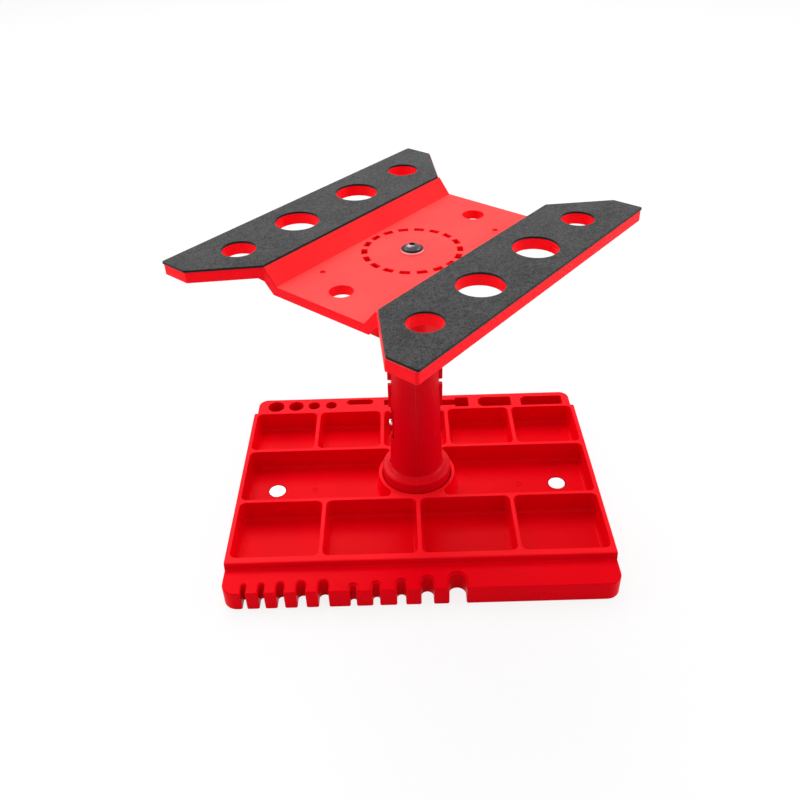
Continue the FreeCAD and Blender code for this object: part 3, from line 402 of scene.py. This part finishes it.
@dataclass(frozen=True)
class FoamSheet:
    """Closed-cell foam sheet with an uneven grain.

    Attributes:
        name: The material's name.
        pit_shade_and_tone: The colour in the pits of the grain, linear: painted shade there, and the dark
            end of the grain's random tone.
        light: The colour on top of the grain.
        cut: The colour of the cut edges, which don't look up: near black, painted shade.
        grain: The size of a grain in metres.
        coarser: The size of the coarse blots, in grains.
        finer: The size of the fine blots, in grains.
        cloud: The size in metres of the slow changes of tone.
        depth: The depth of the pits in metres.
        roughness: The roughness where it is smoothest.
        uneven: How much rougher it gets.
        gloss: The specular level.
        sheen: The weight of the soft sheen.
        sheen_roughness: How widely the sheen spreads.
    """

    name: str
    # The dark pits are painted shade.
    pit_shade_and_tone: Colour
    light: Colour
    # The near-black edges are painted shade.
    cut: Colour = (0.004, 0.004, 0.004)
    grain: float = 0.9 * MM
    coarser: float = 1.8
    finer: float = 0.8
    cloud: float = 16 * MM
    depth: float = 0.12 * MM
    roughness: float = 0.86
    uneven: float = 0.1
    gloss: float = 0.22
    sheen: float = 0.12
    sheen_roughness: float = 0.5

    def material(self) -> bpy.types.Material:
        """Build the material.

        Returns:
            The material.
        """
        material, graph = new_graph(self.name)
        coarse = graph.noise(self.grain * self.coarser, 2.0, 0.6)
        fine = graph.noise(self.grain * self.finer, 2.0, 0.6)
        cloud = graph.noise(self.cloud)
        cells = graph.node("ShaderNodeTexVoronoi", {"feature": "DISTANCE_TO_EDGE"},
                           {"Vector": graph.place(), "Scale": 1.0 / self.grain})
        pits = graph.ramp(Value(graph, cells.outputs[0]), (0.0, 0.0), (0.35, 1.0))
        grain = 0.35 * coarse + 0.5 * fine + 0.15 * pits
        # The tone follows the grain's height, so the pits are darker: painted shade, with a slow random
        # change of tone.
        tone = graph.ramp(grain + 0.15 * (cloud - 0.5), (0.38, 0.0), (0.6, 1.0))
        top = graph.ramp(graph.facing_up(), (0.3, 0.0), (0.9, 1.0))
        # Painted shade: faces that don't look up, the cut edges, take the near-black cut colour.
        colour = graph.blend(top, self.cut, graph.blend(tone, self.pit_shade_and_tone, self.light))
        graph.surface(Base_Color=colour, Roughness=self.roughness + self.uneven * fine,
                      Specular_IOR_Level=self.gloss, Sheen_Weight=self.sheen,
                      Sheen_Roughness=self.sheen_roughness, Normal=graph.bump(grain, self.depth))
        return material


@dataclass(frozen=True)
class Metal:
    """Plated, blackened or plain metal with fine tool marks.

    Attributes:
        name: The material's name.
        colour: The colour, linear.
        roughness: The mean roughness.
        metallic: How metallic it is.
        grain: The size of the tool marks in metres.
        marks: The depth of the tool marks in metres.
        patch: The size of the dull patches in metres.
        patchy: How much darker the dull patches are, as a share.
        uneven: How far the marks and the patches change the roughness.
        edge: The radius of the softened edges in metres.
        rim: The colour of the upright faces, or None for the same; on the washer, a painted highlight.
        rim_metallic: How metallic the rim is, as a share.
    """

    name: str
    colour: Colour
    roughness: float = 0.24
    metallic: float = 1.0
    grain: float = 0.5 * MM
    marks: float = 0.004 * MM
    patch: float = 3.5 * MM
    patchy: float = 0.18
    uneven: tuple[float, float] = (0.12, 0.08)
    edge: float = 0.12 * MM
    rim: Colour | None = None
    rim_metallic: float = 0.3

    def material(self) -> bpy.types.Material:
        """Build the material.

        Returns:
            The material.
        """
        material, graph = new_graph(self.name)
        fine = graph.noise(self.grain, 3.0, 0.6)
        slow = graph.noise(self.patch)
        darker = tuple((1.0 - self.patchy) * channel for channel in self.colour)
        colour = graph.blend(graph.ramp(slow, (0.4, 0.0), (0.7, 1.0)), self.colour, darker)
        metallic: Number = self.metallic
        # Painted highlight: the upright faces take the rim colour, less metallic, so an edge shows bright
        # whatever it faces.
        if self.rim:
            flat = graph.ramp(graph.math("ABSOLUTE", graph.facing_up()), (0.4, 0.0), (0.8, 1.0))
            colour = graph.blend(flat, self.rim, colour)
            metallic = self.metallic * (self.rim_metallic + (1.0 - self.rim_metallic) * flat)
        by_marks, by_patches = self.uneven
        roughness = self.roughness + by_marks * (fine - 0.5) + by_patches * (slow - 0.5)
        graph.surface(Base_Color=colour, Metallic=metallic, Roughness=roughness,
                      Normal=graph.bump(fine, self.marks, self.edge))
        return material


@dataclass(frozen=True)
class Palette:
    """The stand's finishes.

    Attributes:
        tray: The tray's red, with painted light on the rim and the walls' tops.
        post: The post's red, a darker copy as painted shade, with painted light on faces that look up and a
            painted highlight along the parting line.
        mast: The red of the rail and the sprung leaf, a darker copy as painted shade, with painted light on
            faces that look up.
        hub: The red of the hub under the plate, a darker copy as painted shade, with painted light on faces
            that look up.
        plate: The platform's red, the lightest copy as painted light, with a painted pink sheen on its
            tops.
        slip: The white plastic of the friction washer.
        foam: The pads' foam.
        nickel: The magnets' plating.
        washer: The washer, black on its flat faces as painted shade under the head, with a white painted
            highlight on its edge.
        black: The centre screw's black finish.
        zinc: The other screws' plating.
        steel: Plain steel.
        spring: The disc spring's steel.
        brass: The threaded insert's brass.
    """

    # The reds are copies of one plastic: the plate's lighter as painted light, the hub's, mast's and post's
    # darker as painted shade, each with painted light on faces that look up.
    tray: MouldedPlastic = MouldedPlastic(
        "tray_red", (0.75, 0.0, 0.006), (0.92, 0.012, 0.020), painted_top_light_from=11.5 * MM, gloss=0.02)
    post: MouldedPlastic = MouldedPlastic(
        "post_red", (0.60, 0.0, 0.006), (0.70, 0.004, 0.012), roughness=0.3, gloss=0.05, seam=0.03 * MM)
    mast: MouldedPlastic = MouldedPlastic("mast_red", (0.66, 0.0, 0.006), (0.74, 0.003, 0.010), gloss=0.05)
    hub: MouldedPlastic = MouldedPlastic("hub_red", (0.70, 0.0, 0.006), (0.78, 0.002, 0.010), gloss=0.05)
    plate: MouldedPlastic = MouldedPlastic(
        "plate_red", (0.98, 0.002, 0.010), (0.98, 0.056, 0.052), roughness=0.42, gloss=0.06, edge=0.8 * MM)
    slip: MouldedPlastic = MouldedPlastic("acetal_white", (0.80, 0.80, 0.76), (0.80, 0.80, 0.76))
    foam: FoamSheet = FoamSheet("pad_grain", (0.005, 0.005, 0.005), (0.056, 0.055, 0.055))
    nickel: Metal = Metal("nickel", (0.80, 0.84, 0.86), roughness=0.45, patchy=0.06)
    # The washer's black is painted shade under the screw head; its white rim is a painted highlight.
    washer: Metal = Metal("washer_painted_shade_and_highlight", (0.006, 0.006, 0.006), roughness=0.4, rim=(0.9, 0.9, 0.9))
    black: Metal = Metal("black_oxide", (0.16, 0.15, 0.17), roughness=0.28)
    zinc: Metal = Metal("zinc", (0.78, 0.78, 0.76), roughness=0.26)
    steel: Metal = Metal("plain_steel", (0.55, 0.55, 0.55), roughness=0.34)
    spring: Metal = Metal("spring_steel", (0.66, 0.66, 0.68), roughness=0.22)
    brass: Metal = Metal("brass", (0.82, 0.62, 0.3), roughness=0.28)


def dress(node: bpy.types.Object, material: bpy.types.Material) -> None:
    """Give a piece one material in all its slots.

    Args:
        node: The piece.
        material: The material.
    """
    if not node.material_slots:
        node.data.materials.append(material)
    for slot in node.material_slots:
        slot.material = material


def mesh_piece(name: str, build: bmesh.types.BMesh) -> bpy.types.Object:
    """Turn a bmesh into an object in the scene.

    Args:
        name: The piece's name.
        build: Its geometry, which is freed.

    Returns:
        The object.
    """
    mesh = bpy.data.meshes.new(name)
    build.to_mesh(mesh)
    build.free()
    piece = bpy.data.objects.new(name, mesh)
    bpy.context.scene.collection.objects.link(piece)
    return piece


@dataclass
class PhotoCamera:
    """The camera of the photograph, in millimetres and degrees.

    Attributes:
        focal_px: The focal length in pixels of an image this wide.
        image_px: The image's width and height.
        place: The camera's place.
        yaw: The turn to the left.
        pitch: The tilt down.
        roll: The roll.
        sensor: The sensor's width.
        nearest: Where the view begins.
        farthest: Where the view ends.
    """

    focal_px: float = 837.6
    image_px: int = 800
    place: Point3 = (-5.31, -329.0, 302.2)
    yaw: float = 0.37
    pitch: float = 36.33
    roll: float = -1.91
    sensor: float = 36.0
    nearest: float = 10.0
    farthest: float = 20000.0

    def build(self) -> None:
        """Make the camera and make it the scene's."""
        yaw, pitch, roll = (math.radians(angle) for angle in (self.yaw, self.pitch, self.roll))
        right = Vector((math.cos(yaw), math.sin(yaw), 0.0))
        flat = math.cos(pitch)
        ahead = Vector((-math.sin(yaw) * flat, math.cos(yaw) * flat, -math.sin(pitch)))
        above = right.cross(ahead)
        rolled_right = math.cos(roll) * right + math.sin(roll) * above
        rolled_up = -math.sin(roll) * right + math.cos(roll) * above
        data = bpy.data.cameras.new("photo_camera")
        data.sensor_width = self.sensor
        data.lens = self.sensor * self.focal_px / self.image_px
        data.clip_start = self.nearest * MM
        data.clip_end = self.farthest * MM
        camera = bpy.data.objects.new("photo_camera", data)
        bpy.context.scene.collection.objects.link(camera)
        turn = Matrix((rolled_right, rolled_up, -ahead)).transposed().to_4x4()
        camera.matrix_world = Matrix.Translation(Vector(self.place) * MM) @ turn
        bpy.context.scene.camera = camera


@dataclass(frozen=True)
class Lamp:
    """A square soft lamp.

    Attributes:
        name: The lamp's name.
        place: Its place in metres.
        size: Its side in metres.
        power: Its power in watts.
    """

    name: str
    place: Point3
    size: float
    power: float

    def build(self, aim: Point3) -> None:
        """Make the lamp.

        Args:
            aim: The point in metres that it faces.
        """
        data = bpy.data.lights.new(self.name, "AREA")
        data.size = self.size
        data.energy = self.power
        lamp = bpy.data.objects.new(self.name, data)
        bpy.context.scene.collection.objects.link(lamp)
        lamp.location = self.place
        lamp.rotation_euler = (Vector(aim) - Vector(self.place)).to_track_quat("-Z", "Y").to_euler()


@dataclass
class Studio:
    """A white floor, a white surround and soft lamps.

    Attributes:
        floor_half: Half the floor's side in metres.
        floor_grey: The floor's own colour, which takes the light and the shadow.
        whitened: How far the floor is plain white to the camera; the rest shows the shadow.
        mirrored: The floor's level in glossy surfaces.
        sky_top: The surround's level overhead.
        sky_front: The surround's level at the horizon behind the camera.
        sky_back: The surround's level at the horizon behind the stand.
        aim: The point in metres that the lamps face.
        lamps: The lamps.
    """

    floor_half: float = 3.0
    floor_grey: float = 0.86
    whitened: float = 0.84
    mirrored: float = 1.0
    sky_top: float = 0.62
    sky_front: float = 0.75
    sky_back: float = 0.9
    aim: Point3 = (0.0, 0.0, 0.08)
    lamps: tuple[Lamp, ...] = (
        Lamp("top_lamp", (-0.2, 0.75, 1.05), size=0.9, power=11.0),
        Lamp("left_lamp", (-1.2, 0.1, 0.5), size=0.7, power=6.0),
        Lamp("right_lamp", (1.2, 0.1, 0.5), size=0.7, power=6.5),
    )

    def build(self) -> None:
        """Make the whole studio."""
        self._floor()
        self._world()
        for lamp in self.lamps:
            lamp.build(self.aim)

    def _floor(self) -> None:
        """The floor: white to the camera, with the stand's soft shadow kept."""
        build = bmesh.new()
        half = self.floor_half
        ground = [(-half, -half), (half, -half), (half, half), (-half, half)]
        build.faces.new([build.verts.new((x, y, 0.0)) for x, y in ground])
        floor = mesh_piece("floor", build)
        material, graph = new_graph("floor_white")
        lit = graph.node("ShaderNodeBsdfDiffuse", {}, {"Color": grey(self.floor_grey)})
        glow = graph.node("ShaderNodeEmission", {}, {"Color": grey(1.0), "Strength": 1.0})
        mirrored = graph.node("ShaderNodeEmission", {}, {"Color": grey(1.0), "Strength": self.mirrored})
        rays = graph.node("ShaderNodeLightPath")
        seen = Value(graph, rays.outputs["Is Camera Ray"])
        plain = graph.node("ShaderNodeMixShader", {},
                           {0: self.whitened * seen, 1: lit.outputs[0], 2: glow.outputs[0]})
        shader = graph.node("ShaderNodeMixShader", {},
                            {0: rays.outputs["Is Glossy Ray"], 1: plain.outputs[0], 2: mirrored.outputs[0]})
        graph.node("ShaderNodeOutputMaterial", {}, {"Surface": shader.outputs[0]})
        dress(floor, material)

    def _world(self) -> None:
        """The surround: a soft sky for the object, plain white for the camera."""
        world = bpy.data.worlds.new("studio")
        bpy.context.scene.world = world
        graph = Graph(world)
        coordinates = graph.node("ShaderNodeTexCoord").outputs["Generated"]
        parts = graph.node("ShaderNodeSeparateXYZ", {}, {0: coordinates})
        depth = Value(graph, parts.outputs[Axis.Y.value])
        height = Value(graph, parts.outputs[Axis.Z.value]).at_least(0.0)
        behind = graph.ramp(depth * 0.5 + 0.5, (0.5, 0.0), (0.92, 1.0))
        horizon = self.sky_front + (self.sky_back - self.sky_front) * behind
        level = horizon * (1.0 - height) + self.sky_top * height
        seen = Value(graph, graph.node("ShaderNodeLightPath").outputs["Is Camera Ray"])
        strength = level * (1.0 - seen) + seen
        sky = graph.node("ShaderNodeBackground", {}, {"Color": grey(1.0), "Strength": strength})
        graph.node("ShaderNodeOutputWorld", {}, {"Surface": sky.outputs[0]})


@dataclass
class FrameParts:
    """CAD nodes that keep their shape and get a finish.

    Attributes:
        nodes: The frame's nodes by name.
        palette: The stand's finishes.
    """

    nodes: Mapping[str, bpy.types.Object]
    palette: Palette = field(default_factory=Palette)

    def finishes(self) -> dict[str, MouldedPlastic | Metal]:
        """Each node's finish.

        Returns:
            The finishes by the nodes' names.
        """
        look = self.palette
        return {
            "base_tray": look.tray, "magnet_left": look.nickel, "magnet_right": look.nickel,
            "foot_plate": look.steel, "foot_screws": look.zinc, "post_left": look.post,
            "post_right": look.post, "post_screws": look.zinc, "catch_spring": look.mast,
            "catch_screw": look.zinc, "mast": look.mast, "thread_insert": look.brass,
            "stop_washer": look.steel, "stop_screw": look.zinc, "friction_washer": look.slip,
            "disc_spring": look.spring, "flat_washer": look.washer, "centre_screw": look.black,
            "hub_skirt": look.hub, "top_plate": look.plate,
        }

    def dress_all(self) -> None:
        """Dress every node, making each material once."""
        made: dict[str, bpy.types.Material] = {}
        for name, finish in self.finishes().items():
            if finish.name not in made:
                made[finish.name] = finish.material()
            dress(self.nodes[name], made[finish.name])
            LOG.info("dressed %s in %s", name, finish.name)


@dataclass
class FoamPad:
    """A die-cut foam sheet on one wing of the platform, in millimetres.

    U runs along the wing and V across it; the platform stands turned about Z.

    Attributes:
        side: The wing that the pad is on.
        palette: The stand's finishes.
        turn: The platform's turn in degrees, clockwise from above.
        half_length: Half the length along U.
        outer_v: The outer edge.
        inner_v: The edge at the ramp.
        knee_v: Where the end edges turn to the slanted ones.
        corner: The radius of the outer corners.
        soft_corner: The radius of the other corners.
        corner_steps: The number of straight steps round a corner.
        least_radius: The smallest radius that a corner drawn inwards keeps.
        shift: How far each pad was stuck off centre along U.
        hole_v: The line of the holes.
        holes: (u, radius) of the holes.
        hole_steps: The number of straight steps round a hole.
        edge_round: The radius that the die leaves on the upper edge.
        swell: How far the sheet rises and falls.
        swell_rate: How closely its rises follow each other, per millimetre.
        swell_apart: How far apart the two pads' patterns of rises are read.
        swell_from: How far inside the edge it swells fully.
        rings: How far the rows of points along the edges lie inside them.
        crossing_depth: The depth taken where such rows cross.
        grid: The spacing of the inner points.
        clear: How far the inner points keep from the last ring, as a share of their spacing.
    """

    side: Side
    palette: Palette
    turn: float = 40.0
    half_length: float = 80.3
    outer_v: float = 66.3
    inner_v: float = 29.9
    knee_v: float = 52.1
    corner: float = 1.0
    soft_corner: float = 0.6
    corner_steps: int = 6
    least_radius: float = 0.05
    shift: Mapping[Side, float] = field(default_factory=lambda: {Side.LEFT: -0.5, Side.RIGHT: 0.7})
    hole_v: float = 49.1
    holes: tuple[Point2, ...] = ((54.1, 7.25), (19.75, 9.75), (-19.75, 9.75), (-54.1, 7.25))
    hole_steps: int = 72
    edge_round: float = 0.25
    swell: float = 0.05
    swell_rate: float = 0.06
    swell_apart: float = 3.0
    swell_from: float = 4.0
    rings: tuple[float, ...] = (0.0, 0.06, 0.14, 0.25, 0.8)
    crossing_depth: float = 0.5
    grid: float = 2.2
    clear: float = 0.6

    @property
    def node(self) -> str:
        """The CAD node that the pad stands for."""
        return f"foam_{self.side.name.lower()}"

    def _corners(self) -> list[tuple[Point2, float]]:
        """The outline's corners.

        Returns:
            Each corner as (v, u) with its radius, anticlockwise.
        """
        slant_u = self.half_length - (self.knee_v - self.inner_v)
        upper = [
            ((self.outer_v, self.half_length), self.corner),
            ((self.knee_v, self.half_length), self.soft_corner),
            ((self.inner_v, slant_u), self.soft_corner),
        ]
        lower = [((v, -u), radius) for (v, u), radius in reversed(upper)]
        return [((v, u + self.shift[self.side]), radius) for (v, u), radius in upper + lower]

    def _outline(self, inset: float) -> list[Point2]:
        """The outer edge drawn in by an inset.

        Args:
            inset: How far the line lies inside the edge.

        Returns:
            The points as (v, u), in order.
        """
        corners = self._corners()
        points: list[Point2] = []
        for index, (corner, radius) in enumerate(corners):
            before = Vector(corners[index - 1][0])
            after = Vector(corners[(index + 1) % len(corners)][0])
            here = Vector(corner)
            to_before = (before - here).normalized()
            to_after = (after - here).normalized()
            half = to_before.angle(to_after) / 2
            bisector = (to_before + to_after).normalized()
            centre = here + bisector * (radius / math.sin(half))
            arc = max(radius - inset, self.least_radius)
            centre = centre + bisector * (max(inset - radius + self.least_radius, 0.0) / math.sin(half))
            start = math.atan2(*reversed((-bisector).xy))
            sweep = math.pi / 2 - half
            for step in range(self.corner_steps + 1):
                angle = start + sweep * (2 * step / self.corner_steps - 1)
                points.append((centre.x + arc * math.cos(angle), centre.y + arc * math.sin(angle)))
        return self._spaced(points)

    def _spaced(self, points: Sequence[Point2]) -> list[Point2]:
        """Cut the long runs of a loop into steps of the grid's size.

        Args:
            points: The loop's points.

        Returns:
            The same loop with more points.
        """
        result: list[Point2] = []
        for index, (v, u) in enumerate(points):
            next_v, next_u = points[(index + 1) % len(points)]
            steps = max(1, round(math.dist((v, u), (next_v, next_u)) / self.grid))
            for step in range(steps):
                share = step / steps
                result.append((v + (next_v - v) * share, u + (next_u - u) * share))
        return result

    def _circle(self, u: float, radius: float) -> list[Point2]:
        """The edge of a hole.

        Args:
            u: The hole's place along its line.
            radius: Its radius.

        Returns:
            The points as (v, u), in order.
        """
        angles = [2 * math.pi * step / self.hole_steps for step in range(self.hole_steps)]
        return [(self.hole_v + radius * math.cos(angle), u + radius * math.sin(angle)) for angle in angles]

    def _drop(self, depth: float) -> float:
        """How far the rounded edge lies below the sheet's full height.

        Args:
            depth: The distance inside the edge.

        Returns:
            The drop.
        """
        if depth >= self.edge_round:
            return 0.0
        short = self.edge_round - depth
        return self.edge_round - math.sqrt(max(self.edge_round ** 2 - short ** 2, 0.0))

    def _depth_inside(self, point: Point2, outline: Sequence[Point2]) -> float:
        """How far a point lies inside the foam.

        Args:
            point: The point.
            outline: The outer edge.

        Returns:
            The distance to the nearest edge, negative in a hole or past the outline.
        """
        here = Vector(point)
        from_holes = min(math.dist(point, (self.hole_v, u)) - radius for u, radius in self.holes)
        from_outline = math.inf
        inside = False
        for index, corner in enumerate(outline):
            previous = outline[index - 1]
            start = Vector(corner)
            run = Vector(previous) - start
            share = max(0.0, min(1.0, (here - start).dot(run) / max(run.length_squared, TINY)))
            from_outline = min(from_outline, (start + run * share - here).length)
            if (corner[1] > point[1]) != (previous[1] > point[1]):
                across, up = previous[0] - corner[0], previous[1] - corner[1]
                crossing = across * (point[1] - corner[1]) / up + corner[0]
                inside = inside != (point[0] < crossing)
        return min(from_holes, from_outline if inside else -from_outline)

    def _plan(self) -> tuple[list[Point2], list[tuple[int, ...]], list[float]]:
        """The flat mesh of the sheet.

        Returns:
            Points, triangles and each point's depth inside the edge.
        """
        outline = self._outline(0.0)
        points: list[Point2] = []
        depths: list[float] = []
        edges: list[tuple[int, int]] = []
        for ring in self.rings:
            loops = [self._outline(ring)]
            loops += [self._circle(u, radius + ring) for u, radius in self.holes]
            for loop in loops:
                first = len(points)
                points += loop
                depths += [ring] * len(loop)
                edges += [(first + i, first + (i + 1) % len(loop)) for i in range(len(loop))]
        for point in self._lattice():
            depth = self._depth_inside(point, outline)
            if depth > self.rings[-1] + self.clear * self.grid:
                points.append(point)
                depths.append(depth)
        result = delaunay_2d_cdt([Vector(p) for p in points], edges, [], 0, MERGE)
        flat = [(v.x, v.y) for v in result[0]]
        known = [next(iter(sources), None) for sources in result[3]]
        depth_at = [self.crossing_depth if source is None else depths[source] for source in known]
        triangles = []
        for face in result[2]:
            middle = (sum(flat[i][0] for i in face) / 3, sum(flat[i][1] for i in face) / 3)
            if self._depth_inside(middle, outline) > 0:
                triangles.append(tuple(face))
        return flat, triangles, depth_at

    def _lattice(self) -> list[Point2]:
        """Points in staggered rows over the whole sheet.

        Returns:
            The points as (v, u).
        """
        rows = int(self.half_length / self.grid)
        columns = int((self.outer_v - self.inner_v) / self.grid) + 1
        return [(self.inner_v + (column + 0.5 * (row % 2)) * self.grid, row * self.grid)
                for row in range(-rows, rows + 1) for column in range(columns + 1)]

    def _placed(self, point: Point2, z: float) -> Vector:
        """A point of the sheet in the scene.

        Args:
            point: The point as (v, u), for a pad on the right.
            z: Its height in metres.

        Returns:
            The point in metres.
        """
        angle = math.radians(-self.turn)
        v, u = point[0] * self.side.value, point[1]
        x = v * math.cos(angle) - u * math.sin(angle)
        y = v * math.sin(angle) + u * math.cos(angle)
        return Vector((x * MM, y * MM, z))

    def build(self) -> None:
        """Build the pad, dress it and set it on the platform."""
        low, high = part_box(self.node)
        flat, triangles, depths = self._plan()
        build = bmesh.new()
        tops, bottoms = [], []
        for (v, u), depth in zip(flat, depths):
            pattern = self.swell_apart * self.side.value
            wave = noise.noise(Vector((v * self.swell_rate, u * self.swell_rate, pattern)))
            ease = min(1.0, depth / self.swell_from)
            drop = self._drop(depth) + self.swell * (0.5 + 0.5 * wave) * ease
            tops.append(build.verts.new(self._placed((v, u), high.z - drop * MM)))
            bottoms.append(build.verts.new(self._placed((v, u), low.z)))
        for triangle in triangles:
            build.faces.new([tops[i] for i in triangle])
            build.faces.new([bottoms[i] for i in reversed(triangle)])
        self._close(build, tops, bottoms)
        bmesh.ops.recalc_face_normals(build, faces=build.faces)
        for face in build.faces:
            face.smooth = True
        pad = mesh_piece(f"pad_{self.side.name.lower()}", build)
        dress(pad, self.palette.foam.material())
        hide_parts(self.node)
        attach(pad, "platform")
        LOG.info("built %s with %d faces", pad.name, len(pad.data.polygons))

    @staticmethod
    def _close(build: bmesh.types.BMesh, tops: Sequence[Any], bottoms: Sequence[Any]) -> None:
        """Join the open edges of the top to those of the bottom.

        Args:
            build: The mesh.
            tops: Its upper points.
            bottoms: The lower points in the same order.
        """
        under = dict(zip(tops, bottoms))
        for edge in list(build.edges):
            a, b = edge.verts
            if len(edge.link_faces) == 1 and a in under and b in under:
                build.faces.new((a, b, under[b], under[a]))


@dataclass
class WorkStand:
    """The whole stand: the dressed CAD nodes and the modelled foam pads.

    Attributes:
        nodes: The frame's nodes by name.
        palette: The stand's finishes.
    """

    nodes: Mapping[str, bpy.types.Object]
    palette: Palette = field(default_factory=Palette)

    def build(self) -> None:
        """Dress the frame's nodes and build the pads."""
        FrameParts(self.nodes, self.palette).dress_all()
        for side in Side:
            FoamPad(side, self.palette).build()


def corners(box: tuple[Vector, Vector]) -> list[list[float]]:
    """A box as plain lists of numbers."""
    return [list(corner) for corner in box]


def main() -> None:
    """Build the camera, the studio and the stand."""
    logging.basicConfig(level=logging.INFO, format="%(message)s")
    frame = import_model()
    scene = bpy.context.scene
    scene.view_settings.view_transform = "Standard"
    PhotoCamera().build()
    Studio().build()
    WorkStand(frame["nodes"]).build()
    bpy.context.view_layer.update()


if __name__ == "__main__":
    main()
